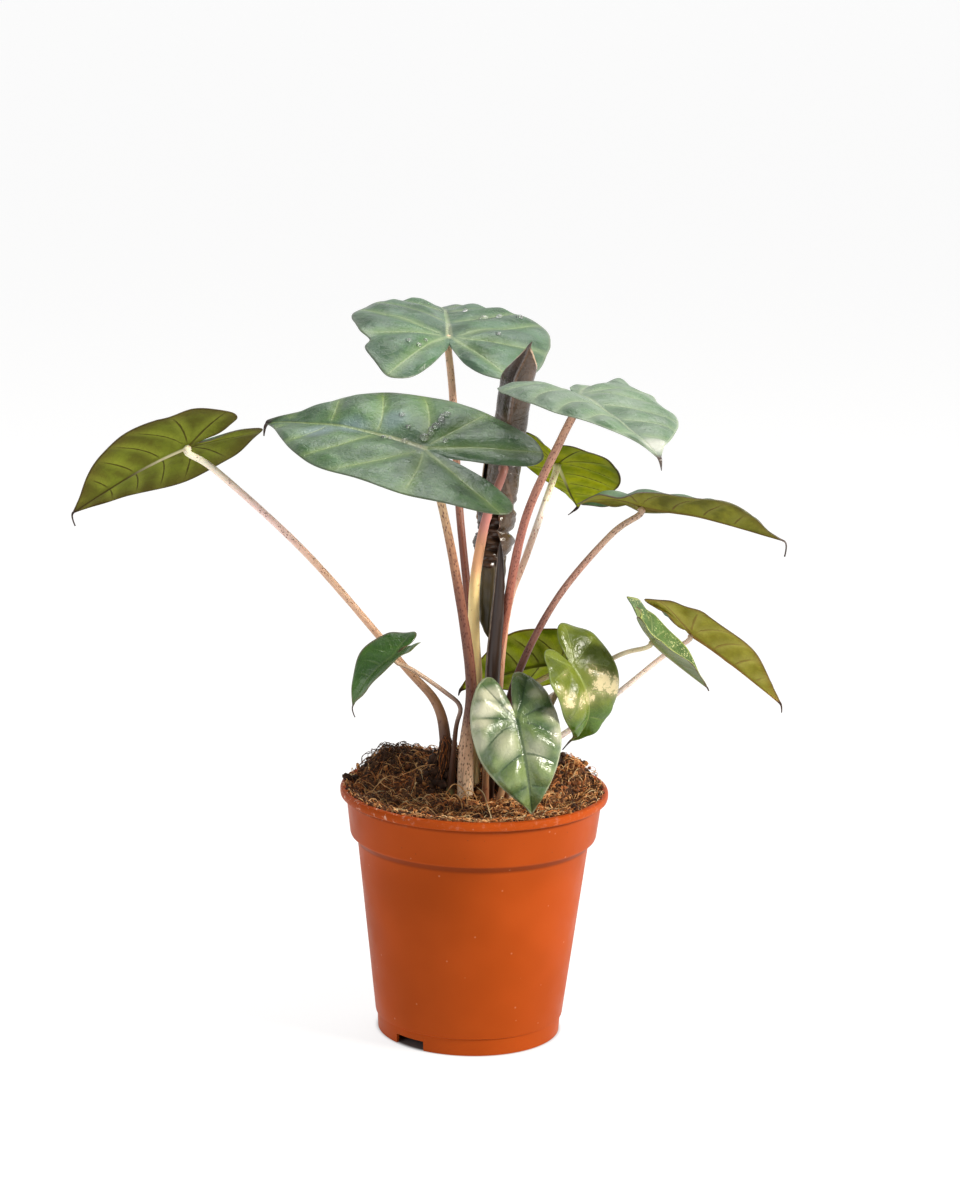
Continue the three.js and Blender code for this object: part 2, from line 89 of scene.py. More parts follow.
def catmull(points, steps):
    """A smooth line through all the points, with steps points a stretch."""
    p = np.asarray(points, float)
    p = np.vstack([2 * p[0] - p[1], p, 2 * p[-1] - p[-2]])
    t = np.linspace(0, 1, steps, endpoint=False)[:, None]
    line = []
    for a, b, c, d in zip(p[:-3], p[1:-2], p[2:-1], p[3:]):
        line.append(0.5 * (2 * b + (c - a) * t + (2 * a - 5 * b + 4 * c - d) * t ** 2
                           + (3 * b - a - 3 * c + d) * t ** 3))
    return np.vstack(line + [p[-2][None]])


def even(line, count):
    """The same line with evenly spaced points."""
    far = np.concatenate([[0], np.cumsum(np.linalg.norm(np.diff(line, axis=0), axis=1))])
    at = np.linspace(0, far[-1], count)
    return np.stack([np.interp(at, far, line[:, k]) for k in range(line.shape[1])], axis=1), far[-1]


def ripple(points, scale, seed=0):
    """Smooth noise from -1 to 1 at each point, with bumps about scale mm apart."""
    shift = Vector((seed * 17.3, seed * 5.1, seed * 9.7))
    return np.array([noise.noise(Vector(p) / scale + shift) for p in np.asarray(points, float)])


def ring_walls(index):
    """Four-sided faces between rings of points. index holds a row of point numbers for each ring."""
    after = np.roll(index, -1, axis=1)
    return np.stack([index[:-1], after[:-1], after[1:], index[1:]], -1).reshape(-1, 4).tolist()


def capped_rings(index, first, last):
    """The walls between rings, closed by a fan at each end round the points first and last."""
    after = np.roll(index, -1, axis=1)
    faces = ring_walls(index)
    faces += [(first, after[0, i], index[0, i]) for i in range(index.shape[1])]
    return faces + [(last, index[-1, i], after[-1, i]) for i in range(index.shape[1])]


def mesh_piece(name, points, faces, materials, replaces=(), wear=None, marks=None):
    """A piece that rides on the part.

    marks are named numbers at each point, and wear says which material each face wears.
    """
    mesh = bpy.data.meshes.new(name)
    corners = [tuple(int(i) for i in face) for face in faces]
    mesh.from_pydata((np.asarray(points, float) * MM).tolist(), [], corners)
    for material in materials:
        mesh.materials.append(material)
    if wear is not None:
        mesh.polygons.foreach_set("material_index", np.asarray(wear, np.int32))
    for mark, values in (marks or {}).items():
        values = np.asarray(values, np.float32)
        kind = "FLOAT" if values.ndim == 1 else "FLOAT_VECTOR"
        mesh.attributes.new(mark, kind, "POINT").data.foreach_set(
            "value" if values.ndim == 1 else "vector", values.ravel())
    mesh.polygons.foreach_set("use_smooth", [True] * len(mesh.polygons))
    mesh.update()
    piece = bpy.data.objects.new(name, mesh)
    bpy.context.scene.collection.objects.link(piece)
    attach(piece, "root")
    if replaces:
        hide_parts(*replaces)
    return piece


# Materials: settings that many nodes share, and refractive indices
SMOOTH = dict(interpolation_type="SMOOTHSTEP")
TIMES = dict(operation="MULTIPLY")
TIMES_PLUS = dict(operation="MULTIPLY_ADD")
LARGER = dict(operation="MAXIMUM")
COLOURS = dict(data_type="RGBA")
PLANT_IOR = 1.45
PLASTIC_IOR = 1.49
WATER_IOR = 1.333


def linear(code):
    """An sRGB hex colour as linear red, green, blue and alpha."""
    parts = [int(code[i:i + 2], 16) / 255 for i in (1, 3, 5)]
    return tuple(c / 12.92 if c <= 0.04045 else ((c + 0.055) / 1.055) ** 2.4 for c in parts) + (1.0,)


def add(tree, kind, links=(), **settings):
    """A node with its settings. links fill its inputs in order or by name, with values, sockets or nodes.

    A node there stands for its first output in use.
    """
    made = tree.nodes.new("ShaderNode" + kind)
    for key, value in settings.items():
        setattr(made, key, value)
    if not isinstance(links, dict):
        links = dict(zip([i for i, socket in enumerate(made.inputs) if socket.enabled], links))
    for key, value in links.items():
        if isinstance(value, bpy.types.Node):
            value = next(socket for socket in value.outputs if socket.enabled)
        if isinstance(value, bpy.types.NodeSocket):
            tree.links.new(value, made.inputs[key])
        else:
            made.inputs[key].default_value = value
    return made


def new_material(name):
    """A material, its empty node tree, and a node with the place on the object in mm."""
    material = bpy.data.materials.new(name)
    material.use_nodes = True
    tree = material.node_tree
    tree.nodes.clear()
    metres = add(tree, "TexCoord").outputs["Object"]
    return material, tree, add(tree, "VectorMath", (metres, 1 / MM), operation="SCALE")


def painted(tree, base, layers):
    """Colours laid over a base colour one by one. layers are (colour, share, where it shows)."""
    for colour, share, where in layers:
        cover = add(tree, "Math", (where, share), **TIMES)
        base = add(tree, "Mix", (cover, base, colour), **COLOURS)
    return base


LEAF_MARKS = (
    "main", "rib", "lateral", "lateral_show", "spacing", "margin", "away", "patch", "ahead", "tip")
# The cream of the finest specks, and the green that light takes on as it passes a blade
SPECK_CREAM = "#E6E8A8"
LIT_GREEN = "#B5C832"


def leaf_skin(name, lamina, shade, vein, rim, near=None, bloom="#8E9C9A", bloom_share=0.0, flush="#5A4038",
              flush_share=0.0, flush_reach=14, patch="#F0E6C8", ragged=1.0, speck_share=0.0, shine=0.38,
              gloss=0.5, vein_strength=0.6, raised=False, glow=0.15, rim_width=0.8, rim_strength=0.8,
              vein_width=1.0, side_strength=0.7, base_vein=None, pucker=0.4, tip="#4A3A36", end=None):
    """A leaf's waxy skin: soft gloss over clouded greens, with veins, a thin coloured rim and pale patches,
    which are scorch on some leaves and painted highlights and reflections on others.

    The marks on the mesh say where these are. main is the distance to the midrib and rib to the lobe's
    rib, in vein widths. lateral counts the side veins, and spacing is the mm between two of them. margin
    and away are the mm to the edge and to the joint. patch is how much of the patch colour shows.
    bloom is a powdery cast between the veins, flush a darker cast towards the edge, near the green beside
    the veins, end the green of the blade's last third, and glow the share of light that passes the blade.
    """
    material, tree, place = new_material(name)
    marks = {key: add(tree, "Attribute", attribute_name=key).outputs["Fac"] for key in LEAF_MARKS}
    cloud = add(tree, "TexNoise", (place, 1 / 17, 4, 0.6))
    fine = add(tree, "TexNoise", (place, 1 / 2.2, 4))
    edges = (0.5 * vein_width, 1.5 * vein_width)
    midrib = add(tree, "MapRange", (marks["main"], *edges, 1, 0), **SMOOTH)
    off_rib = add(tree, "Math", (marks["rib"],), operation="ABSOLUTE")
    lobe_rib = add(tree, "MapRange", (off_rib, *edges, 0.8, 0), **SMOOTH)

    # Side veins with a slight wander, which fade near the edge, and the green beside them
    wander = add(tree, "Math", (add(tree, "TexNoise", (place, 1 / 4, 2)), 0.5), **TIMES)
    steps = add(tree, "Math", (marks["lateral"], 0.5), operation="PINGPONG")
    gap = add(tree, "Math", (steps, marks["spacing"], wander), **TIMES_PLUS)
    line = add(tree, "MapRange", (gap, 0.3 + 0.15 * vein_width, 0.35 + 0.55 * vein_width, 1, 0), **SMOOTH)
    inside = add(tree, "MapRange", (marks["margin"], 1, 9), **SMOOTH)
    line = add(tree, "Math", (line, add(tree, "Math", (inside, marks["lateral_show"]), **TIMES)), **TIMES)
    band = add(tree, "MapRange", (gap, 0.6, 5.5, 1, 0), **SMOOTH)
    beside = add(tree, "Math", (band, marks["lateral_show"]), **TIMES)

    # The net of finest veins, drawn 2.6 mm wide, about twice the real one, so that it shows
    net = add(tree, "TexVoronoi", (place, 1 / 2.6), feature="DISTANCE_TO_EDGE")
    net = add(tree, "MapRange", (net, 0, 0.12, 1, 0), **SMOOTH)

    layers = [(linear(shade), 1, add(tree, "MapRange", (cloud, 0.38, 0.6), **SMOOTH))]
    if bloom_share > 0:
        powder = add(tree, "MapRange", (add(tree, "TexNoise", (place, 1 / 13, 3)), 0.4, 0.62), **SMOOTH)
        between = add(tree, "Math", (1, beside), operation="SUBTRACT")
        layers.append((linear(bloom), bloom_share, add(tree, "Math", (powder, between), **TIMES)))
    if near:
        layers.append((linear(near), 0.6, beside))
    if flush_share > 0:
        outer = add(tree, "Math", (cloud, 0.8 * flush_reach, marks["margin"]), **TIMES_PLUS)
        outer = add(tree, "MapRange", (outer, 0.3 * flush_reach, 1.3 * flush_reach, 1, 0), **SMOOTH)
        layers.append((linear(flush), flush_share, outer))
    if end:
        layers.append((linear(end), 0.95, add(tree, "MapRange", (marks["ahead"], 0.42, 0.58), **SMOOTH)))
    layers += [(linear(vein), 0.1, fine), (linear(vein), 0.14 * vein_strength, net)]
    if speck_share > 0:
        dots = add(tree, "TexVoronoi", (place, 1 / 1.1))
        dots = add(tree, "MapRange", (dots, 0.22, 0.45, 1, 0), **SMOOTH)
        groups = add(tree, "TexNoise", (place, 1 / 4, 3))
        groups = add(tree, "MapRange", (groups, 0.55 - 0.35 * speck_share, 0.7), **SMOOTH)
        layers.append((linear(SPECK_CREAM), 0.9, add(tree, "Math", (dots, groups), **TIMES)))
    # Pale patches: scorch on some leaves, painted highlights and reflections on others
    layers.append((linear(patch), 0.5 if ragged else 0.9, marks["patch"]))
    if ragged:
        torn = add(tree, "TexNoise", (place, 1 / 2.2, 6, 0.75))
        torn = add(tree, "MapRange", (torn, 0.34, 0.66, 0.2, 0.95), **SMOOTH)
        torn = add(tree, "Math", (marks["patch"], torn), operation="SUBTRACT")
        layers.append((linear(patch), ragged, add(tree, "MapRange", (torn, -0.1, 0.08), **SMOOTH)))
    midrib_colour = linear(vein)
    if base_vein:
        far = add(tree, "MapRange", (marks["away"], 6, 34), **SMOOTH)
        midrib_colour = add(tree, "Mix", (far, linear(base_vein), linear(vein)), **COLOURS)
    lines = add(tree, "Math", (lobe_rib, add(tree, "Math", (line, side_strength), **TIMES)), **LARGER)
    edge = add(tree, "Math", (fine, -0.8, marks["margin"]), **TIMES_PLUS)
    edge = add(tree, "MapRange", (edge, 0.3 * rim_width, rim_width, 1, 0), **SMOOTH)
    colour = painted(tree, linear(lamina), layers + [
        (linear(vein), vein_strength, lines), (midrib_colour, vein_strength, midrib),
        (linear(rim), rim_strength, edge), (linear(tip), 1, marks["tip"])])

    # Relief: veins stand out below and lie sunk above, over a fine grain and the pucker between them
    height = add(tree, "Math", (midrib, add(tree, "Math", (lobe_rib, line), **LARGER)), **LARGER)
    height = add(tree, "Math", (height, 1.0 if raised else -0.5), **TIMES)
    grainy = add(tree, "TexNoise", (place, 1 / 1.1, 2))
    puckered = add(tree, "TexNoise", (place, 1 / 5, 2))
    for relief, amount in ((net, 0.25 if raised else -0.25), (grainy, 0.12), (puckered, 3 * pucker)):
        height = add(tree, "Math", (relief, amount, height), **TIMES_PLUS)
    bump = add(tree, "Bump", {"Height": height, "Strength": 0.6, "Distance": 0.35 * MM})
    smears = add(tree, "TexNoise", (place, 1 / 6, 4))
    roughness = add(tree, "MapRange", (smears, 0.3, 0.7, shine - 0.07, shine + 0.1), **SMOOTH)
    skin = add(tree, "BsdfPrincipled", {"Base Color": colour, "Roughness": roughness, "IOR": PLANT_IOR,
                                        "Specular IOR Level": gloss, "Normal": bump})
    sunlit = add(tree, "Mix", (0.5, colour, linear(LIT_GREEN)), blend_type="MULTIPLY", **COLOURS)
    through = add(tree, "BsdfTranslucent", (sunlit, bump))
    add(tree, "OutputMaterial", (add(tree, "MixShader", (glow, skin, through)),))
    return material


def stalk_skin(name, stops, speck="#5A2A20", specks=0.6, shine=0.42, dash_size=0.8):
    """A petiole's smooth, slightly waxy skin, whose colour changes up it, with short dark dashes along it.

    stops are (height in mm, colour) from the foot up, and specks is the share of dashes. The mark stem is
    the place round and along the stalk in mm, and height is the height above the ground.
    """
    material, tree, place = new_material(name)
    stem = add(tree, "Attribute", attribute_name="stem").outputs["Vector"]
    height = add(tree, "Attribute", attribute_name="height").outputs["Fac"]
    wander = add(tree, "Math", (add(tree, "TexNoise", (place, 1 / 5, 3)), 10, height), **TIMES_PLUS)
    layers = [(linear(paint), 1, add(tree, "MapRange", (wander, low + 5, high + 5), **SMOOTH))
              for (low, _), (high, paint) in zip(stops, stops[1:])]
    drawn_out = add(tree, "VectorMath", (stem, (1, 1, 0.1)), **TIMES)
    streaks = add(tree, "MapRange", (add(tree, "TexNoise", (drawn_out, 1 / 0.8, 3)), 0.45, 0.75), **SMOOTH)
    layers.append((linear(speck), 0.45 * specks, streaks))
    longer = add(tree, "VectorMath", (stem, (1, 1, 0.55)), **TIMES)
    dashes = add(tree, "TexVoronoi", (longer, 1 / dash_size))
    dashes = add(tree, "MapRange", (dashes, 0.2, 0.45, 1, 0), **SMOOTH)
    groups = add(tree, "TexNoise", (stem, 1 / 3, 3))
    groups = add(tree, "MapRange", (groups, 0.66 - 0.4 * specks, 0.8 - 0.4 * specks), **SMOOTH)
    layers.append((linear(speck), 0.8, add(tree, "Math", (dashes, groups), **TIMES)))
    fibres = add(tree, "TexNoise", (drawn_out, 1 / 0.9, 2))
    bump = add(tree, "Bump", {"Height": fibres, "Strength": 0.35, "Distance": 0.2 * MM})
    skin = add(tree, "BsdfPrincipled", {
        "Base Color": painted(tree, linear(stops[0][1]), layers), "Roughness": shine, "IOR": PLANT_IOR,
        "Normal": bump, "Subsurface Weight": 0.12, "Subsurface Scale": 1.5 * MM,
        "Subsurface Radius": (1.0, 0.6, 0.4)})
    add(tree, "OutputMaterial", (skin,))
    return material


# Painted shade: dark lines under the bead and the collar, where shade falls. The heights in mm where each
# begins, is full, fades and ends, and its share
POT_PAINTED_SHADE_BANDS = [(106.4, 107.6, 108.3, 108.7, 0.55), (86.8, 88.6, 90.4, 91.3, 0.6)]


def pot_plastic():
    """Injection-moulded polypropylene: satin and faintly pebbled, with chalky scuffs on the bead, painted
    shade under the bead and the collar, and a few specks, so that it reads as a handled nursery pot.
    """
    material, tree, place = new_material("moulded_terracotta_polypropylene")
    parts = add(tree, "SeparateXYZ", (place,))
    x, z = parts.outputs[0], parts.outputs[2]
    tone = add(tree, "MapRange", (add(tree, "TexNoise", (place, 1 / 40, 2)), 0.3, 0.7), **SMOOTH)
    scuffs = add(tree, "MapRange", (add(tree, "TexNoise", (place, 1 / 2.6, 5, 0.7)), 0.54, 0.66), **SMOOTH)
    on_bead = add(tree, "MapRange", (z, 106, 110), **SMOOTH)
    at_left = add(tree, "MapRange", (x, -46, -18, 0.75, 0.1), **SMOOTH)
    scuffs = add(tree, "Math", (add(tree, "Math", (scuffs, on_bead), **TIMES), at_left), **TIMES)
    layers = [(linear("#A0420F"), 1, tone), (linear("#E8C0A8"), 1, scuffs)]
    # Painted shade in the corners under the bead and the collar
    for low, full, fading, gone, share in POT_PAINTED_SHADE_BANDS:
        over = add(tree, "MapRange", (z, low, full), **SMOOTH)
        under = add(tree, "MapRange", (z, fading, gone, 1, 0), **SMOOTH)
        layers.append((linear("#5E240A"), share, add(tree, "Math", (over, under), **TIMES)))
    cells = [add(tree, "TexVoronoi", (place, 1 / size)) for size in (7, 5)]
    specks = [add(tree, "MapRange", (cell, 0.04, 0.08, 1, 0), **SMOOTH) for cell in cells]
    high = add(tree, "MapRange", (z, 80, 92), **SMOOTH)
    layers += [(linear("#E8B896"), 0.2, specks[0]),
               (linear("#6A3A20"), 0.6, add(tree, "Math", (specks[1], high), **TIMES))]
    pebble = add(tree, "TexNoise", (place, 1 / 0.8, 2))
    bump = add(tree, "Bump", {"Height": pebble, "Strength": 0.12, "Distance": 0.1 * MM})
    smears = add(tree, "TexNoise", (place, 1 / 12, 3))
    skin = add(tree, "BsdfPrincipled", {
        "Base Color": painted(tree, linear("#AC4814"), layers), "IOR": PLASTIC_IOR,
        "Specular IOR Level": 0.05, "Normal": bump,
        "Roughness": add(tree, "MapRange", (smears, 0.3, 0.7, 0.36, 0.46), **SMOOTH),
        "Subsurface Weight": 0.08, "Subsurface Scale": 1.5 * MM, "Subsurface Radius": (1.0, 0.35, 0.15)})
    add(tree, "OutputMaterial", (skin,))
    return material


def matte_matter(name, base, layers, grit, relief, depth, rough):
    """Dry or damp matter without gloss: a base colour, patches over it, and a gritty relief.

    layers are (colour, share, and the size in mm, detail, roughness, low and high of the noise that shows
    it), and grit is the relief's size, detail and roughness.
    """
    material, tree, place = new_material(name)
    shown = []
    for colour, share, size, detail, tooth, low, high in layers:
        noise_there = add(tree, "TexNoise", (place, 1 / size, detail, tooth))
        shown.append((linear(colour), share, add(tree, "MapRange", (noise_there, low, high), **SMOOTH)))
    size, detail, tooth = grit
    grains = add(tree, "TexNoise", (place, 1 / size, detail, tooth))
    bump = add(tree, "Bump", {"Height": grains, "Strength": relief, "Distance": depth * MM})
    skin = add(tree, "BsdfPrincipled", {
        "Base Color": painted(tree, linear(base), shown), "Roughness": rough, "IOR": PLANT_IOR,
        "Normal": bump})
    add(tree, "OutputMaterial", (skin,))
    return material


def potting_mix():
    """Damp peat and coir: dark crumbs between orange-brown fibre dust."""
    return matte_matter("peat_and_coir_mix", "#2E1A0E", [
        ("#6A4022", 1, 6, 5, 0.65, 0.38, 0.62), ("#C08450", 0.85, 1.2, 3, 0.7, 0.5, 0.66),
        ("#DCAA70", 0.6, 2.3, 2, 0.5, 0.6, 0.72)], (0.9, 5, 0.75), 0.9, 0.8, 0.92)


def plant_matter(name, light, dark, rough=0.85):
    """Fibre, bark or other small dry matter: matte, with a colour that wanders over it."""
    return matte_matter(name, light, [(dark, 1, 2.5, 3, 0.5, 0.35, 0.65)], (0.5, 2, 0.5), 0.5, 0.15, rough)


def water():
    """Clear water: a bead that mirrors the lights and lets the leaf show through."""
    material, tree, _ = new_material("clear_water")
    skin = add(tree, "BsdfPrincipled", {
        "Base Color": linear("#FFFFFF"), "Roughness": 0.02, "IOR": WATER_IOR, "Transmission Weight": 0.85})
    add(tree, "OutputMaterial", (skin,))
    return material


# Leaves, as in the part's source
# Half a blade's edge from tip to notch, as (along, share of half the width)
HALF_EDGE = [
    (1, 0.02), (0.95, 0.07), (0.87, 0.17), (0.72, 0.42), (0.52, 0.72), (0.3, 0.93), (0.06, 1),
    (-0.2, 0.98), (-0.5, 0.88), (-0.78, 0.7), (-0.95, 0.5), (-1, 0.35), (-0.94, 0.22), (-0.7, 0.11),
    (-0.42, 0.04), (-0.2, 0),
]
# Pairs are (left half, right half), lengths are mm, and angles are degrees
LEAVES = {
    "far_left": dict(
        joint=(-131.4, 25, 259.2), heading=168, pitch=-26, roll=40, length=61, lobes=(31, 31),
        widths=(28, 28), droop=15, lobe_droop=(17, 13), fold=(6, 18), curl=(14, 14), splay=(0.08, 0.07),
        twist=6, fullness=(0.87, 0.9), shift=0.01, drip=(0.5, 0, -6.5), foot=(-12.5, 9.5),
        via=[(-16, 11.6, 143), (-34.4, 14, 165.5), (-76.5, 19, 212), (-117, 23.5, 247.5)],
        radii=(2.9, 1.7, 1.5), slot="olive_blade", stalk_slot="pink_stalk"),
    "broad_left": dict(
        joint=(-26.1, -26, 269.9), heading=155.5, pitch=13.4, roll=-34, length=83, lobes=(51, 48),
        widths=(41, 41), droop=30, lobe_droop=(15, 1), fold=(21, -2), curl=(2, 24), splay=(0.09, 0.1),
        twist=-3, fullness=(0.92, 0.99), shift=0.04, drip=(-2, 0, -5.5), foot=(-3.9, 2.4),
        via=[(-4.1, -1.5, 132), (-2.6, -6.5, 161), (-8.3, -13.3, 200.6), (-17.7, -21.4, 245.6)],
        radii=(3.7, 2.5, 1.6), slot="grey_green_blade", stalk_slot="tan_stalk"),
    "top": dict(
        joint=(-16.3, 60, 306.3), heading=92, pitch=12, roll=6.4, length=88, lobes=(40, 41),
        widths=(41, 43), droop=22, lobe_droop=(24, 12), fold=(10, 11), curl=(19, 17), splay=(0.22, 0.22),
        twist=-3, fullness=(0.93, 1), shift=0.04, drip=(0, 3, -5), foot=(-5.6, 14.4),
        via=[(-3, 18, 131), (-3, 26.5, 173.5), (-9.7, 38.7, 231), (-13.9, 50.7, 280)],
        radii=(2.3, 1.9, 1.7), slot="grey_green_blade", stalk_slot="red_stalk"),
    "upper_right": dict(
        joint=(40.1, -36, 296.2), heading=-68, pitch=-2.4, roll=4.5, length=81, lobes=(35, 33),
        widths=(36.5, 34.5), droop=14, lobe_droop=(22, 17), fold=(0, 23), curl=(21, 30), splay=(0.36, 0.05),
        twist=-6, fullness=(0.88, 0.89), shift=0.02, drip=(1.3, 0, -5.3), foot=(5.6, 9.2),
        via=[(6, 6.6, 146), (8, 4.4, 166), (11.8, -0.5, 192), (19.3, -15, 238), (33.5, -30, 276.4)],
        radii=(2.4, 2.2, 1.7), slot="grey_green_blade", stalk_slot="red_stalk"),
    "back_right": dict(
        joint=(34.2, 46, 252.1), heading=76, pitch=-31.5, roll=2.7, length=55, lobes=(29, 29),
        widths=(26, 28.5), droop=0, lobe_droop=(2, 9), fold=(20, 5), curl=(14, 14), splay=(0, 0.06),
        twist=1, fullness=(0.97, 0.96), shift=0, drip=(-4.5, 0, -4), foot=(8.5, 14.6),
        via=[(9.8, 21, 147), (13.2, 29, 187.5), (21.2, 34.4, 212), (30.6, 41, 240)], radii=(1.9, 1.8, 1.5),
        slot="bright_blade", stalk_slot="pink_stalk"),
    "right": dict(
        joint=(70.7, 12, 239.8), heading=-10, pitch=-4.5, roll=-19.5, length=65, lobes=(25, 27),
        widths=(28, 27), droop=12, lobe_droop=(36, 28), fold=(25, 17), curl=(34, 23), splay=(0.05, 0.06),
        twist=-8, fullness=(0.9, 0.95), shift=0.03, drip=(1, 0, -7.4), foot=(11.2, 5.2),
        via=[(11.5, 6, 133), (18.5, 7.6, 163.7), (34.9, 9.4, 197.6), (57.3, 11, 226)],
        radii=(2.1, 1.8, 1.4), slot="olive_blade", stalk_slot="red_stalk"),
    "low_right": dict(
        joint=(95.9, 18, 180.6), heading=-5, pitch=-32, roll=-30, length=50, lobes=(19, 23),
        widths=(21, 22.5), droop=9, lobe_droop=(-3, -2), fold=(28, 20), curl=(12, 22), splay=(0.12, 0.14),
        twist=-13, fullness=(1, 0.93), shift=-0.02, drip=(1.4, 0, -4.6), foot=(16.8, 8),
        via=[(24.7, 9.5, 125), (41, 11.5, 135.6), (64, 14.2, 154), (84, 16.6, 171)], radii=(1.6, 1.4, 1.1),
        slot="olive_blade", stalk_slot="pink_stalk"),
    "front": dict(
        joint=(17.5, -33, 151.2), heading=-54.5, pitch=-63, roll=22, length=43, lobes=(23, 22),
        widths=(19.5, 21), droop=41, lobe_droop=(25, 22), fold=(5, 15), curl=(25, 29), splay=(0.01, 0),
        twist=6, fullness=(0.96, 0.95), shift=0.02, drip=(0, -1, -2.5), foot=(5, -3.6),
        via=[(5.2, -14, 131), (8, -21, 142), (12, -27, 149)], radii=(1.7, 1.5, 1.2), slot="fresh_blade",
        stalk_slot="tan_stalk"),
    "small_right": dict(
        joint=(76.7, -14, 184.4), heading=20, pitch=-42, roll=10, length=34.5, lobes=(19, 18),
        widths=(16.5, 16.5), droop=-5, lobe_droop=(-11, -15), fold=(36, 20), curl=(15, 12),
        splay=(0.18, 0.18), twist=-4, fullness=(0.84, 0.84), shift=0.01, drip=(1.3, 0, -2),
        foot=(15.6, 1.2), via=[(19.6, -2, 142), (33, -1.5, 155), (60.8, -1.8, 173.8)], radii=(1.5, 1.3, 1),
        slot="fresh_blade", stalk_slot="pink_stalk"),
    "inner_right": dict(
        joint=(42.2, -20, 172.8), heading=-7, pitch=-50.5, roll=29, length=43.5, lobes=(18.5, 14),
        widths=(19.5, 19), droop=91, lobe_droop=(-2, 17), fold=(27, 7), curl=(21, 21), splay=(0.13, 0.13),
        twist=21, fullness=(0.92, 0.9), shift=0.01, drip=(-3.5, 0, -4.5), foot=(10.6, -2.6),
        via=[(17, -7.5, 129), (30.3, -13, 149.6), (36.5, -15.5, 163.5)], radii=(1.6, 1.4, 1.1),
        slot="fresh_blade", stalk_slot="pink_stalk"),
    "inner_back": dict(
        joint=(37.9, 42, 160.1), heading=175, pitch=-7, roll=45, length=47, lobes=(20, 20), widths=(22, 21),
        droop=26, lobe_droop=(18, 16), fold=(24, 19), curl=(16, 22), splay=(0.08, 0.08), twist=21,
        fullness=(0.89, 0.95), shift=0.03, drip=(-1.5, 0, -2.5), foot=(13.4, 13.8),
        via=[(14.5, 20.4, 129), (17.6, 27, 143.6), (25.6, 33, 152)], radii=(1.6, 1.4, 1.2),
        slot="bright_blade", stalk_slot="tan_stalk"),
    "small_left": dict(
        joint=(-37.3, -8, 173.1), heading=192, pitch=-33, roll=-11.5, length=29, lobes=(13.5, 14.5),
        widths=(13, 13.3), droop=38, lobe_droop=(0, -2), fold=(21, 29), curl=(12, 18), splay=(0.12, 0.1),
        twist=-9, fullness=(0.93, 0.91), shift=0.05, drip=(1, 0, -5.3), foot=(-10.9, 2.6),
        via=[(-9, -1, 138), (-7.2, -2.8, 149.5), (-14, -4, 156.5), (-28.6, -6.5, 167)],
        radii=(2.1, 1.1, 0.9), slot="dark_blade", stalk_slot="red_stalk"),
}
# Small departures of an edge, as (half, step from tip to notch, reach, mm ahead, mm to the left)
EDGE_NUDGES = {
    "top": [
        (0, 0.33, 0.05, 0.6, 4), (0, 0.5, 0.05, 0, -5), (0, 0.72, 0.05, -4, 1.6), (1, 0.34, 0.09, 1, -4)],
    "low_right": [(1, 0.72, 0.03, -4, 6), (1, 0.85, 0.06, -0.4, -3), (0, 0.88, 0.05, -1.9, 5)],
    "small_right": [(0, 0.7, 0.04, -4.5, -4.5), (0, 0.8, 0.05, 3.2, 4.2)],
}
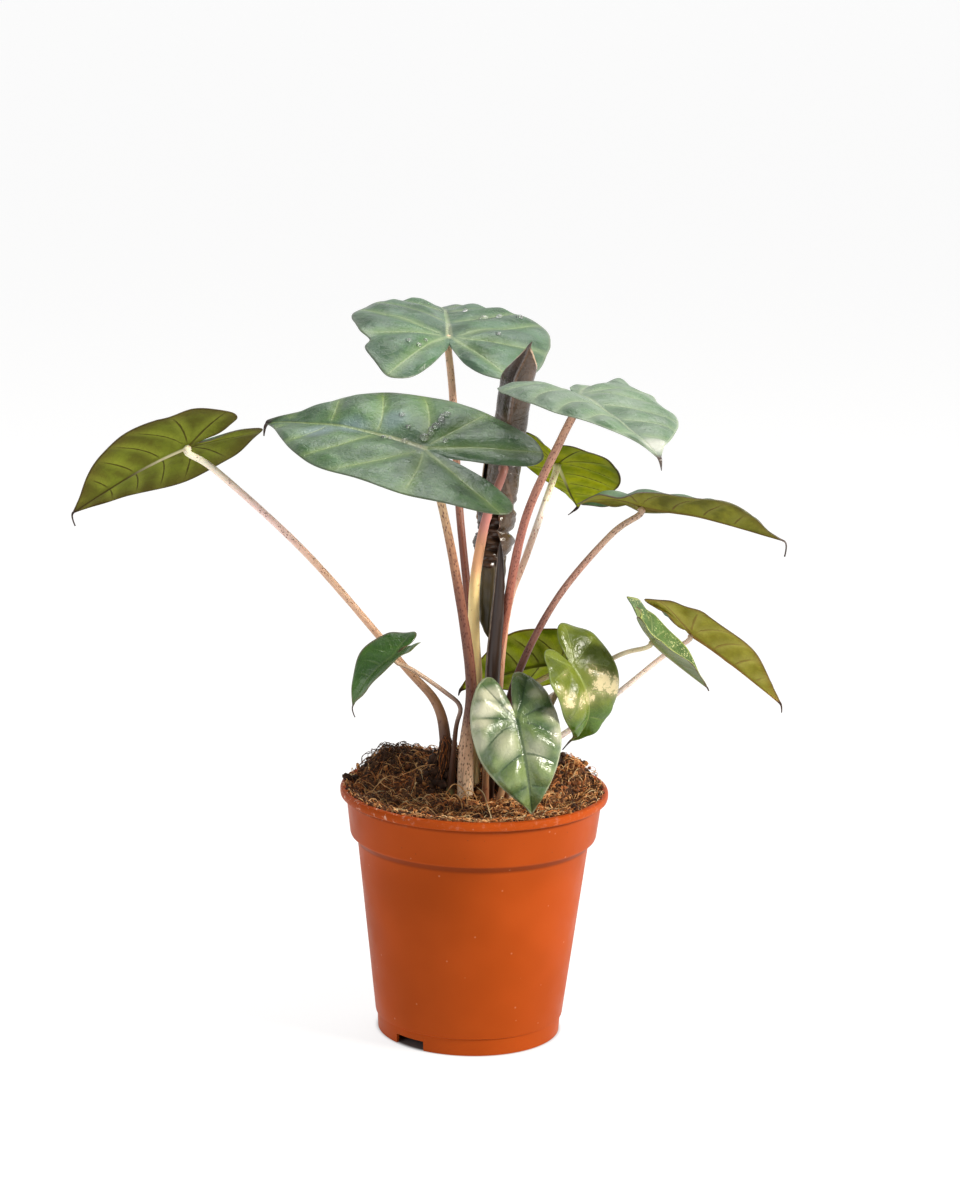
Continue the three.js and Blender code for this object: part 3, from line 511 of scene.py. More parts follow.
# Each blade's surface: veins ahead of the joint, quilting, waves, pale patches and drops of water; the
# patches are scorch on some leaves and painted highlights and reflections on others
SURFACES = {
    "far_left": dict(side_veins=4.4, quilt=1.1, wave=1.6),
    # The broad left leaf's patches are painted blue-white sky reflections
    "broad_left": dict(side_veins=3.5, quilt=1.7, roll=1.0, wave=1.6, patches=[
        (0.44, -0.02, 8, 0.6), (0.57, 0.19, 9, 0.7), (0.25, -0.26, 8, 0.6)], drops=[
        (0.03, -0.14, 2.2), (0.01, -0.22, 1.7), (0.02, -0.29, 1.4), (0.01, -0.34, 2), (0, -0.41, 1.4),
        (0.01, -0.46, 1.7), (0.02, -0.53, 1.2), (0.01, -0.58, 1.8), (0.11, -0.02, 1.4), (0.22, -0.35, 1.4),
        (0.14, -0.2, 1.2), (-0.14, -0.2, 1.3), (0.22, 0.05, 1.2), (0.19, 0.03, 1)]),
    "top": dict(side_veins=3.8, quilt=2.1, roll=1.2, drops=[
        (0.43, -0.2, 1.4), (0.3, -0.39, 2), (0.31, -0.56, 1.6), (0.31, -0.78, 1.6), (-0.02, -0.51, 1.2),
        (-0.46, 0.46, 1.2), (-0.47, 0.36, 1.3), (-0.34, 0.27, 1)]),
    # The upper right leaf's patch near its end is a painted white highlight
    "upper_right": dict(side_veins=4, quilt=1.8, roll=1.0, flaps=[(0, 0.66, 0.035, 4)],
                        patches=[(0.88, 0.1, 8, 0.7)]),
    "back_right": dict(side_veins=4.6, quilt=1.1),
    "right": dict(side_veins=4.6, quilt=1.6, wave=2.8),
    "low_right": dict(side_veins=4.2, quilt=1.3, wave=1.6),
    # The front leaf's pale patches are partly cream scorch and partly painted sheen highlights
    "front": dict(side_veins=3, quilt=2.6, wave=1.4, patches=[
        (-0.6, -0.45, 8, 0.75), (-0.35, -0.6, 8, 0.8), (-0.1, -0.78, 6, 0.75), (0.12, -0.9, 5, 0.5),
        (0.2, -0.35, 7, 0.5), (0.32, 0.3, 6, 0.4), (0.22, 0.92, 5, 0.6), (-0.02, 0.92, 6, 0.65),
        (-0.45, 0.62, 5, 0.4), (-0.3, -0.1, 4, 0.6)]),
    "small_right": dict(side_veins=4, quilt=0.6),
    "inner_right": dict(side_veins=3.4, quilt=1.5, wave=1.6, patches=[
        (0.05, -0.85, 3.5, 0.5), (0.2, -0.7, 5, 0.7), (0.32, -0.3, 4, 0.65), (0.34, 0.0, 4.5, 0.7),
        (0.28, 0.45, 6, 0.85), (0.36, 0.72, 5, 0.85), (0.12, 0.35, 4, 0.45), (-0.1, -0.4, 5, 0.25)]),
    "inner_back": dict(side_veins=5, quilt=1.2),
    "small_left": dict(side_veins=4.2, quilt=0.7),
}
STALK_FOOT = 98
FOOT_DEPTH = 3
NECK = 3
HEAD_BELOW_JOINT = 1.0
BLADE_THICKNESS = 0.5
POINT_SPACING = 0.95


def blade_axes(heading, pitch, roll):
    """A blade's directions forward, left and up, from its angles in degrees."""
    h, p, r = (math.radians(a) for a in (heading, pitch, roll))
    forward = np.array([math.cos(p) * math.cos(h), math.cos(p) * math.sin(h), math.sin(p)])
    level = np.array([-math.sin(h), math.cos(h), 0])
    above = np.cross(forward, level)
    left = math.cos(r) * level + math.sin(r) * above
    return forward, left, np.cross(forward, left)


def blade_points(leaf, along, across, half, lift=0.0):
    """Points of a blade's middle surface, raised by lift. half is 0 on the left and 1 on the right."""
    forward, left, up = blade_axes(leaf["heading"], leaf["pitch"], leaf["roll"])
    width = np.choose(half, leaf["widths"])
    near = np.minimum(1, np.abs(across) / (0.2 * width))

    def shared(pair):
        return mix((pair[0] + pair[1]) / 2, np.choose(half, pair), near)

    ahead = along >= 0
    reach = np.where(ahead, leaf["length"], shared(leaf["lobes"]))
    bend = np.radians(np.where(ahead, -leaf["droop"], shared(leaf["lobe_droop"])))
    bend = np.where(np.abs(bend) < 1e-6, 1e-6, bend)
    slope = bend * np.abs(along)
    run = np.sign(along) * reach * np.sin(slope) / bend
    rise = np.sign(along) * reach * (1 - np.cos(slope)) / bend
    fold = np.radians(np.choose(half, leaf["fold"]))
    curl = np.radians(np.choose(half, leaf["curl"]))
    turned = fold - curl * np.abs(across) / width
    out = np.sign(across) * width / curl * (np.sin(fold) - np.sin(turned))
    over = width / curl * (np.cos(turned) - np.cos(fold)) + lift
    twist = np.radians(leaf["twist"]) * along
    sideways = out * np.cos(twist) - over * np.sin(twist)
    above = out * np.sin(twist) + over * np.cos(twist)
    onward = run - np.sin(slope) * above
    return (np.array(leaf["joint"]) + onward[..., None] * forward + sideways[..., None] * left
            + (rise + np.cos(slope) * above)[..., None] * up)


def half_edge(name, leaf, half, count):
    """One half's edge from tip to notch, as along and across."""
    line, _ = even(catmull(HALF_EDGE, 12) * (1, 0.5), count)
    along, width = line[:, 0], np.maximum(line[:, 1] * 2, 0)
    full = np.where(along > 0.06, width ** leaf["fullness"][half], width)
    shoulder = leaf["shift"] * (1 - along ** 2) * np.maximum(0, full - 0.3) / 0.7
    spread = np.maximum(0, -along) * leaf["splay"][half] * np.minimum(1, 3 * full) * leaf["lobes"][half]
    sign = 1 if half == 0 else -1
    along, across = along + shoulder, sign * (full * leaf["widths"][half] + spread)
    step = np.linspace(0, 1, count)
    for side, place, reach, ahead, left in EDGE_NUDGES.get(name, ()):
        if side == half:
            swell = np.exp(-((step - place) / reach) ** 2)
            along = along + ahead * swell / np.where(along < 0, leaf["lobes"][half], leaf["length"])
            across = across + left * swell
    return along, across


NOTCH = -0.14
LOBE_RIB = (0.74, 0.47)
SIDE_VEIN_SWEEP = 0.3
DRIP_ROWS = 9


def blade_grid(name, leaf):
    """Places on a blade, as rows from the tip to the notch and columns from the left edge to the right.

    Each row joins a point on the midrib to the two edges, and reach is 0 on the midrib and 1 at the edge.
    """
    rows = int(1.35 * (leaf["length"] + max(leaf["lobes"])) / POINT_SPACING)
    columns = int(max(leaf["widths"]) / POINT_SPACING)
    reach = np.linspace(0, 1, columns + 1)[None] ** 1.1
    step = np.linspace(0, 1, rows)[:, None]
    halves = []
    for half in (0, 1):
        edge_along, edge_across = half_edge(name, leaf, half, rows)
        widest = step[np.argmax(np.abs(edge_across)), 0]
        spine = np.where(step[:, 0] < widest, np.maximum(edge_along, 0),
                         NOTCH * smoothstep(widest, 1, step[:, 0]) ** 1.2)
        along = mix(spine[:, None], edge_along[:, None], reach)
        across = edge_across[:, None] * reach
        far = np.hypot((edge_along - spine) * leaf["length"], edge_across)[:, None] * (1 - reach)
        sideways = np.abs(edge_across[:, None]) * (1 - reach)
        margin = np.minimum(far, np.maximum(sideways, far * 0.6))
        full = np.zeros(along.shape)
        halves.append([along, across, np.full(along.shape, half), margin, full + step, full + reach])
    merged = [np.concatenate([left[:, ::-1], right[:, 1:]], axis=1) for left, right in zip(*halves)]
    keys = ("along", "across", "half", "margin", "step", "reach")
    return SimpleNamespace(**dict(zip(keys, merged)), columns=columns)


def blade_veins(leaf, grid, side_veins, patches=()):
    """Marks for the veins and patches of a blade's skin, and the heights of its quilts and its ribs.

    Side veins leave the midrib ahead of the joint, and fan out from the joint behind it.
    """
    along, across = grid.along, grid.across
    width = np.choose(grid.half, leaf["widths"])
    lobe = np.choose(grid.half, leaf["lobes"])
    w = np.abs(across) / width
    out = np.maximum(np.abs(across), 1e-6)
    ahead = along * np.where(along < 0, lobe, leaf["length"])
    away = np.hypot(ahead, out)
    shift = SIDE_VEIN_SWEEP * w ** 1.6
    turn = np.arctan2(-ahead, out)
    first = -np.arctan2(shift * leaf["length"], out)
    rib_turn = np.arctan2(LOBE_RIB[0] * lobe, LOBE_RIB[1] * width)
    rib_length = np.hypot(LOBE_RIB[0] * lobe, LOBE_RIB[1] * width)
    share = (turn - first) / (rib_turn - first)
    lateral = np.where(share > 0, -2 * share, (along - shift) * side_veins)
    spacing = np.where(share > 0, away * (rib_turn - first) / 2, leaf["length"] / side_veins)
    off_rib = (turn - rib_turn) * away
    rib = off_rib / mix(0.8, 0.2, np.clip(away / rib_length, 0, 1))
    main = np.where(along > -0.04, out / mix(1.0, 0.3, np.clip(along, 0, 1)), 9)
    main = np.minimum(main, away / 1.1)
    lateral_show = smoothstep(0.02, 0.1, w) * smoothstep(1.5, 6, away)
    quilts = np.abs(np.sin(math.pi * lateral)) ** 1.2 * smoothstep(3, 14, spacing)
    quilts = quilts * smoothstep(0.03, 0.3, w) * (1 - smoothstep(0.78, 1, grid.reach))
    thin = np.clip(along, 0, 1)
    ridge = np.where(along > -0.02, mix(0.9, 0.25, thin) * np.exp(-(out / mix(1.3, 0.6, thin)) ** 2), 0)
    lobe_ridge = 0.5 * np.exp(-off_rib ** 2) * (share > 0) * np.clip(1 - away / rib_length / 1.1, 0, 1)
    patch = np.zeros(along.shape)
    for at, place, size, strength in patches:
        far = np.hypot((along - at) * leaf["length"], across - place * width) / size
        patch = np.maximum(patch, strength * (1 - smoothstep(0.3, 1.25, far)))
    marks = dict(main=np.minimum(main, 9), rib=np.clip(rib, -9, 9), lateral=lateral,
                 lateral_show=lateral_show, spacing=spacing, margin=grid.margin, away=away, patch=patch,
                 ahead=np.clip(along, 0, 1), tip=0.9 * smoothstep(0.965, 1, along))
    return marks, quilts, np.maximum(ridge, lobe_ridge)


def margin_wave(grid, seed, size):
    """Low waves along a blade's edge, which die out towards the midrib."""
    phase = np.random.default_rng(seed).uniform(0, 2 * math.pi, 6)
    swell = sum(math.cos(phase[k]) * np.sin((k + 2) * math.pi * grid.step + phase[k + 3]) for k in range(3))
    side = np.where(grid.across > 0, 1.0, -1.0)
    return size * 0.5 * grid.reach ** 3 * (swell + 0.6 * np.sin(9 * math.pi * grid.step + side + phase[0]))


def with_drip(leaf, middle, marks, columns):
    """Adds rows for the drip tip, a narrowing tail that leaves the blade's end and turns along the drip."""
    tip = middle[0, columns]
    drip = np.array(leaf["drip"], float)
    tail = np.linspace(1, 0, DRIP_ROWS + 1)[:-1]
    knee = tip + unit(tip - middle[6, columns]) * np.linalg.norm(drip) * 0.35
    t = tail[:, None]
    centre = (1 - t) ** 2 * tip + 2 * t * (1 - t) * knee + t ** 2 * (tip + drip)
    narrow = (1 - tail ** 1.5)[:, None, None] * 0.9 + 0.1
    middle = np.concatenate([centre[:, None] + (middle[0] - tip)[None] * narrow, middle])
    longer = {key: np.concatenate([np.repeat(value[:1], DRIP_ROWS, axis=0), value])
              for key, value in marks.items()}
    longer["tip"][:DRIP_ROWS] = 0.95
    return middle, longer


def blade_piece(name, leaf, upper_skin, under_skin, seed, side_veins=4.2, quilt=0.8, wave=1.2, roll=0.5,
                patches=(), flaps=(), drops=()):
    """A blade as two sheets and a rim, with its side veins sunk between low quilts.

    patches are (along, across in half widths, radius in mm, strength) spots of the skin's patch colour,
    flaps are (half, step, spread, rise) stretches of the edge that turn up, and drops are (along, across in
    half widths, radius) of water.
    """
    grid = blade_grid(name, leaf)
    marks, quilts, ridge = blade_veins(leaf, grid, side_veins, patches)
    groove = 0.2 * np.exp(-(np.abs(grid.across) / 1.2) ** 2) * (grid.along > -0.1)
    lift = quilt * quilts + margin_wave(grid, seed, wave) - groove
    for half, step, spread, rise in flaps:
        lift = lift + (rise * np.exp(-((grid.step - step) / spread) ** 2) * smoothstep(0.7, 1, grid.reach)
                       * (grid.half == half))
    flat = blade_points(leaf, grid.along, grid.across, grid.half)
    rolling = ripple(flat.reshape(-1, 3), 19, seed).reshape(lift.shape)
    lift = lift + roll * rolling * smoothstep(1, 9, marks["away"])
    marks["ridge"] = ridge
    middle, marks = with_drip(leaf, blade_points(leaf, grid.along, grid.across, grid.half, lift), marks,
                              grid.columns)
    ridge = marks.pop("ridge")
    normal = sheet_normals(middle)
    if np.mean(normal @ blade_axes(leaf["heading"], leaf["pitch"], leaf["roll"])[2]) < 0:
        normal = -normal
    thick = BLADE_THICKNESS / 2 * (0.45 + 0.55 * smoothstep(0, 1.2, marks["margin"]))
    upper = middle + normal * thick[..., None]
    under = middle - normal * (thick + ridge)[..., None]
    beads = []
    for at, place, radius in drops:
        far = np.hypot((grid.along - at) * leaf["length"],
                       grid.across - place * np.choose(grid.half, leaf["widths"]))
        row, column = np.unravel_index(np.argmin(far), far.shape)
        beads.append((upper[row + DRIP_ROWS, column], normal[row + DRIP_ROWS, column], radius))
    if beads:
        drops_piece(f"{name}_water_drops", beads)
    sheet_piece(f"{name}_blade", upper, under, [upper_skin, under_skin], marks,
                f"leaf_{name}_blade")


# A drop is a little oval and flat, and its middle sits just above the leaf, in radii
DROP_SHAPE = (1, 0.88, 0.6)
DROP_RISE = 0.25


def drops_piece(name, beads):
    """Flattened beads of water on a leaf. beads are (place, normal, radius)."""
    ball = bmesh.new()
    bmesh.ops.create_uvsphere(ball, u_segments=16, v_segments=10, radius=1)
    base = np.array([v.co[:] for v in ball.verts])
    faces_of_one = [[v.index for v in f.verts] for f in ball.faces]
    ball.free()
    points, faces = [], []
    for k, (place, normal, radius) in enumerate(beads):
        turn = np.array(Vector(normal).to_track_quat("Z", "Y").to_matrix())
        points.append((base * DROP_SHAPE) @ turn.T * radius + place + normal * DROP_RISE * radius)
        faces += [[i + k * len(base) for i in face] for face in faces_of_one]
    mesh_piece(name, np.concatenate(points), faces, [water()])


def sheet_normals(grid):
    """The direction square to the sheet at each point of its grid."""
    down = np.gradient(grid, axis=0)
    right = np.gradient(grid, axis=1)
    return unit(np.cross(down, right))


def sheet_piece(name, upper, under, skins, marks, replaced):
    """Two facing grids joined along their border. The first skin is on the upper one."""
    rows, columns = upper.shape[:2]
    index = np.arange(rows * columns).reshape(rows, columns)
    corners = (index[:-1, :-1], index[:-1, 1:], index[1:, 1:], index[1:, :-1])
    top = np.stack([corner.ravel() for corner in corners], 1)
    offset = rows * columns
    bottom = top[:, ::-1] + offset
    ring = np.concatenate([index[0, :], index[1:, -1], index[-1, -2::-1], index[-2:0:-1, 0]])
    after = np.roll(ring, -1)
    rim = np.stack([after, ring, ring + offset, after + offset], 1)
    sample = upper.reshape(-1, 3)
    face = top[len(top) // 2]
    way = np.cross(sample[face[1]] - sample[face[0]], sample[face[3]] - sample[face[0]])
    outward = sample[face[0]] - under.reshape(-1, 3)[face[0]]
    faces = np.concatenate([top, bottom, rim])
    if way @ outward < 0:
        faces = faces[:, ::-1]
    wear = np.concatenate([np.zeros(len(top)), np.ones(len(bottom)), np.zeros(len(rim))])
    points = np.concatenate([sample, under.reshape(-1, 3)])
    marks = {key: np.concatenate([value.ravel(), value.ravel()]) for key, value in marks.items()}
    piece = mesh_piece(name, points, faces, skins, (replaced,), wear=wear, marks=marks)
    shape = bmesh.new()
    shape.from_mesh(piece.data)
    bmesh.ops.remove_doubles(shape, verts=shape.verts, dist=0.02 * MM)
    bmesh.ops.dissolve_degenerate(shape, edges=shape.edges, dist=0.01 * MM)
    shape.to_mesh(piece.data)
    shape.free()


# Stalks
def stalk_line(foot, via, head, neck_way=None):
    """A petiole's middle line, which leaves the soil upright and meets the blade along neck_way."""
    x, y = foot
    points = [(x, y, STALK_FOOT), (x, y, soil_height(np.array([x]), np.array([y]))[0] - FOOT_DEPTH), *via]
    if neck_way is not None:
        points.append(tuple(np.array(head) + np.array(neck_way) * NECK))
    points.append(tuple(head))
    return catmull(points, 24)


def tube_piece(name, line, radius_at, skin, sides=14, spacing=1.6, squash=None, replaces=(), seed=0,
               knobbly=0.04):
    """A closed round tube along a line."""
    length = np.linalg.norm(np.diff(line, axis=0), axis=1).sum()
    count = max(12, int(length / spacing))
    centre, length = even(line, count)
    way = unit(np.gradient(centre, axis=0))
    side = unit(np.cross(way[0], (0.3, 1, 0.1)))
    sides_out = []
    for k in range(count):
        side = unit(side - way[k] * (side @ way[k]))
        sides_out.append(side)
    side = np.array(sides_out)
    across = np.cross(way, side)
    t = np.arange(count) / (count - 1)
    angle = 2 * math.pi * np.arange(sides) / sides
    radius = radius_at(t)[:, None] * np.ones(sides)
    wobble = ripple(np.stack([t * length, np.full(count, seed * 3.1), np.zeros(count)], 1), 7, seed)
    radius = radius * (1 + knobbly * wobble[:, None])
    if squash is not None:
        radius = radius * squash(t[:, None], angle[None])
    points = (centre[:, None] + side[:, None] * (radius * np.cos(angle))[..., None]
              + across[:, None] * (radius * np.sin(angle))[..., None])
    stem = np.stack([radius * np.cos(angle), radius * np.sin(angle),
                     (t * length)[:, None] + np.zeros(sides)], -1).reshape(-1, 3)
    points = np.concatenate([points.reshape(-1, 3), centre[:1], centre[-1:]])
    stem = np.concatenate([stem, [[0, 0, 0]], [[0, 0, length]]])
    faces = capped_rings(np.arange(count * sides).reshape(count, sides), count * sides, count * sides + 1)
    mesh_piece(name, points, faces, [skin], replaces, marks=dict(stem=stem, height=points[:, 2]))


def stalk_radius(radii):
    """A petiole's radius along it, from foot to waist to top, with a slight flare under the blade."""
    foot, waist, top = radii

    def radius(t):
        return np.where(t < 0.35, mix(foot, waist, smoothstep(0.08, 0.35, t)),
                        mix(waist, top, (t - 0.35) / 0.65)) * (1 + 0.2 * smoothstep(0.975, 1, t))
    return radius


# Soil height in front and behind, and the radius of the pot's inside at its rim
SOIL_FRONT = 107
SOIL_BACK = 116
WALL_INSIDE = 57.5


def soil_height(x, y):
    """The soil's surface as in the part's source."""
    rise = (SOIL_BACK - SOIL_FRONT) * smoothstep(-4, 24, y)
    lumps = 0.9 * np.sin(0.21 * x + 1) * np.sin(0.17 * y + 0.4) + 0.5 * np.sin(0.37 * x - 0.29 * y)
    edge = 2.5 * smoothstep(46, 56, np.hypot(x, y))
    return SOIL_FRONT + rise + lumps - edge


# The young leaf, still rolled round an upright axis with its midrib at the front
ROLLED = dict(length=61, lobes=(71, 71), widths=(36, 36), fullness=(1, 1), splay=(0, 0), shift=0,
              drip=(1.4, 0, 2.4))
ROLL_AXIS = [(4.6, 9, 222), (13.4, 9, 297)]
ROLL_TOP, ROLL_JOINT, ROLL_END = 311, 257, 207
ROLL_OUTER, ROLL_INNER = 7.8, 5.8
INNER_TURNS = (209, 262)
# Folds round the roll, as (height, reach, rise)
ROLL_PLEATS = [(233, 3.4, 1.2), (227.6, 1.3, -1.7), (222.6, 3.2, 1.7), (216.4, 2.2, -1.6), (239, 2.2, -0.7)]
ROLLED_HALF_THICKNESS = 0.35
ROLLED_STALK = dict(
    foot=(-0.2, 9.6), radii=(2.8, 3, 1.8), head=(9, 0.9, 257), neck_way=(0, -1, -0.6),
    via=[(-0.5, 8.6, 158), (-1.8, 5.5, 178), (-2.2, -2.6, 203), (-0.8, -2.8, 218), (2.4, -2.6, 236)])


def roll_axis(height):
    """Points at these heights on the roll's leaning axis."""
    low, high = np.array(ROLL_AXIS, float)
    return low[None] + (high - low)[None] * ((height.ravel() - low[2]) / (high[2] - low[2]))[:, None]


def rolled_points(grid, lift=0.0):
    """The blade's places wound round the roll's axis, pleated where the lobes begin to hang."""
    height = np.where(grid.along >= 0, mix(ROLL_JOINT, ROLL_TOP, grid.along),
                      mix(ROLL_JOINT, ROLL_END, -grid.along))
    inward = smoothstep(0, 8, -grid.across)
    angle = grid.across / ROLL_OUTER + FRONT
    keel = 0.9 * np.exp(-np.abs(grid.across) / 1.6) * (grid.along > -0.05)
    radius = mix(ROLL_OUTER, ROLL_INNER, inward) * (1 - 0.05 * np.cos(2 * (angle - FRONT) + 1.2))
    uneven = 1 + 0.3 * np.sin(3 * angle + 0.6) + 0.15 * np.sin(5 * angle)
    for place, reach, rise in ROLL_PLEATS:
        tilted = height + 0.8 * np.sin(2 * angle + place)
        radius = radius + rise * uneven * np.exp(-((tilted - place) / reach) ** 2)
    crinkle = 0.3 * np.sin(1.1 * height + 1.7 * angle) + 0.22 * np.sin(1.9 * height - 2.3 * angle)
    radius = radius + crinkle * smoothstep(252, 236, height)
    radius = radius * mix(1, 0.35, smoothstep(217, 207, height)) + keel + lift
    lean = 3.8 * smoothstep(0.7, 1, grid.along)
    axis = roll_axis(height).reshape(height.shape + (3,))
    x = axis[..., 0] + radius * np.cos(angle) + lean
    return np.stack([x, axis[..., 1] + radius * np.sin(angle), height], -1)


def rolled_piece(outer_skin, inner_skin):
    """The young leaf, a blade of the open leaves' form wound round its axis."""
    grid = blade_grid("rolled", ROLLED)
    marks, quilts, _ = blade_veins(ROLLED, grid, 5)
    middle, marks = with_drip(ROLLED, rolled_points(grid, 0.25 * quilts), marks, grid.columns)
    normal = sheet_normals(middle)
    if normal[len(middle) // 3, grid.columns][1] > 0:
        normal = -normal
    thick = ROLLED_HALF_THICKNESS * (0.5 + 0.5 * smoothstep(0, 1.2, marks["margin"]))[..., None]
    sheet_piece("rolled_blade", middle + normal * thick, middle - normal * thick,
                [outer_skin, inner_skin], marks, "rolled_leaf_blade")


# The young leaf's two lobes, as (middle line, radius)
HANGING_LOBES = [
    ([(3.7, 8, 218), (3.6, 7.5, 205), (3.9, 7, 192), (4.5, 7, 179.5)], 3.5),
    ([(7.6, 11, 218), (7.8, 11, 206), (7.8, 10.5, 194), (7.2, 10, 184)], 3.3),
]


def lobe_piece(name, line, size, skin, seed):
    """One of the young leaf's two lobes, a flat twisted roll that hangs to a point."""
    def radius(t):
        return size * np.interp(t, [0, 0.1, 0.5, 0.8, 0.93, 1], [0.9, 1, 1, 0.85, 0.5, 0.08])

    def squash(t, angle):
        return (1 + 0.14 * np.cos(2 * angle + 2 * t) + 0.1 * np.cos(3 * angle - 3 * t)
                + 0.05 * np.sin(30 * t + angle))

    tube_piece(name, catmull(line, 10), radius, skin, sides=28, spacing=0.9, squash=squash,
               seed=seed, knobbly=0.1)


def inner_turns_piece(skin):
    """The turns inside the roll, seen between its hanging lobes."""
    line = roll_axis(np.linspace(*INNER_TURNS, 30))

    def pleats(t, angle):
        height = mix(*INNER_TURNS, t)
        swell = 0.16 * np.sin(1.15 * height + 1.4 * angle) + 0.1 * np.sin(2.3 * height - 2 * angle)
        return 1 + swell * smoothstep(248, 236, height)
    tube_piece("rolled_inner_turns", line, lambda t: 6.2 * np.interp(t, [0, 0.12, 1], [0.4, 1, 0.95]), skin,
               sides=48, spacing=0.7, squash=pleats, seed=33, knobbly=0.05)


# The next leaf, a tight spear
SPEAR = dict(foot=(6.3, 0.8), via=[(6.9, -3, 166), (8, -5, 190), (8.8, -6, 210)], tip=(8.6, -6.5, 226))


def spear_radius(t):
    """The spear's radius from its foot to its tip: a slow swell, then a long point."""
    return np.interp(t, [0, 0.4, 0.6, 0.75, 0.88, 0.97, 1], [2.4, 3.2, 3.4, 2.9, 2.1, 1.1, 0.3])


def spear_edge(line):
    """The outermost edge of the rolled spear, which runs up its left front."""
    steps = np.linspace(0.3, 0.97, 40)
    rows = (steps * (len(line) - 1)).astype(int)
    out = spear_radius(steps)[:, None] * unit(np.array([(-0.82, -0.57, 0)]))
    return line[rows] + out


# Soil: the filled body, with crumbs and coir fibres on it
# The body's side inside the pot, as (radius, height), and the radius and rings of its top
SOIL_SIDE = [(12.4, 1.5), (14.6, 6), (38.9, 6), (40.6, 7.8), (50.3, 89.3), (53.5, 92.5), (55.4, 104)]
SOIL_RADIUS, SOIL_RINGS = 55.6, 80
# Low mounds on the soil, as (x, y, size, rise)
MOUNDS = [
    (-40, 22, 9, 5), (-30, 34, 10, 4), (44, 22, 9, 4.5), (30, 38, 10, 4), (-13, 12, 7, 5), (10, 44, 10, 3),
    (36, 2, 9, 2.5), (-38, -8, 9, 2), (-20, -30, 9, 1.2), (22, -34, 9, 0.8), (0, -22, 8, 1.0),
    (-24, 4, 8, 3), (48, 10, 6, 2.5),
]


def ground_height(x, y):
    """The soil's surface: the part's own form with mounds and a rough grain, raised near the pot's wall."""
    z = soil_height(x, y)
    for cx, cy, size, rise in MOUNDS:
        z = z + rise * np.exp(-((x - cx) ** 2 + (y - cy) ** 2) / size ** 2)
    points = np.stack([x, y, 0 * x], -1)
    z = z + 1.3 * ripple(points, 7, 1) + 0.9 * ripple(points, 3, 2)
    far = np.hypot(x, y)
    return z + np.maximum(0, 111 - z) * smoothstep(43, 53, far) + 1.5 * smoothstep(55, WALL_INSIDE, far)


def soil_piece(skin):
    """The soil as one body that fills the pot, with a fine grain on its surface."""
    sides = 240
    angle = 2 * math.pi * np.arange(sides) / sides
    radii = SOIL_RADIUS * np.sqrt(np.linspace(1, 0.0004, SOIL_RINGS))
    points = [(0, 0, SOIL_SIDE[0][1])]
    for r, z in SOIL_SIDE:
        points += [(r * math.cos(a), r * math.sin(a), z) for a in angle]
    x = (radii[:, None] * np.cos(angle)).ravel()
    y = (radii[:, None] * np.sin(angle)).ravel()
    z = ground_height(x, y) + 0.7 * ripple(np.stack([x, y, 0 * x], -1), 1.3, 3)
    centre = [(0, 0, ground_height(np.zeros(1), np.zeros(1))[0])]
    points = np.concatenate([np.array(points), np.stack([x, y, z], 1), centre])
    rings = len(SOIL_SIDE) + len(radii)
    faces = capped_rings(1 + np.arange(rings * sides).reshape(rings, sides), 0, len(points) - 1)
    mesh_piece("soil_body", points, faces, [skin], replaces=("soil",))


def lumps_piece(name, skins, places, rng):
    """Irregular crumbs, each a small closed lump. places are (x, y, size, how far up it sits, skin)."""
    ball = bmesh.new()
    bmesh.ops.create_icosphere(ball, subdivisions=2, radius=1)
    base = np.array([v.co[:] for v in ball.verts])
    tris = np.array([[v.index for v in f.verts] for f in ball.faces])
    ball.free()
    points, faces, wear = [], [], []
    for k, (x, y, size, raised, which) in enumerate(places):
        turn = np.array(Matrix.Rotation(rng.uniform(0, 6.28), 3, Vector(rng.normal(size=3))))
        stretch = rng.uniform(0.55, 1.25, 3)
        bumps = 1 + 0.55 * ripple(base * 1.1 + k, 0.9, k)
        lump = (base * bumps[:, None] * stretch) @ turn.T * size
        z = ground_height(np.array([x]), np.array([y]))[0]
        points.append(lump + (x, y, z + size * raised))
        faces.append(tris + k * len(base))
        wear += [which] * len(tris)
    mesh_piece(name, np.concatenate(points), np.concatenate(faces), skins, wear=wear)


def strands_piece(name, skins, strands, sides=4):
    """Thin closed tubes in one piece. strands are (points, thickness, skin)."""
    points, faces, wear = [], [], []
    start = 0
    angle = 2 * math.pi * np.arange(sides) / sides
    for line, thickness, which in strands:
        line = np.asarray(line, float)
        count = len(line)
        way = unit(np.gradient(line, axis=0))
        side = unit(np.cross(way, (0.31, 0.52, 0.8)))
        across = np.cross(way, side)
        taper = (0.35 + 0.65 * np.sin(math.pi * np.linspace(0.08, 0.92, count)))[:, None] * thickness / 2
        ring = (line[:, None] + side[:, None] * (taper * np.cos(angle))[..., None]
                + across[:, None] * (taper * np.sin(angle))[..., None])
        points.append(ring.reshape(-1, 3))
        index = start + np.arange(count * sides).reshape(count, sides)
        walls = ring_walls(index)
        faces += walls + [index[0, ::-1], index[-1]]
        wear += [which] * (len(walls) + 2)
        start += count * sides
    mesh_piece(name, np.concatenate(points), faces, skins, wear=wear)


# How many there are of each, and the middle of the fibrous clump
LOOSE_CRUMBS, RIM_CRUMBS, CLUMP_CRUMBS = 1300, 170, 50
COIR_FIBRES, LONG_FIBRES, CURLED_FIBRES, RIM_FIBRES, CLUMP_FIBRES = 1900, 60, 90, 260, 120
CLUMP = (-12.5, 9.5)
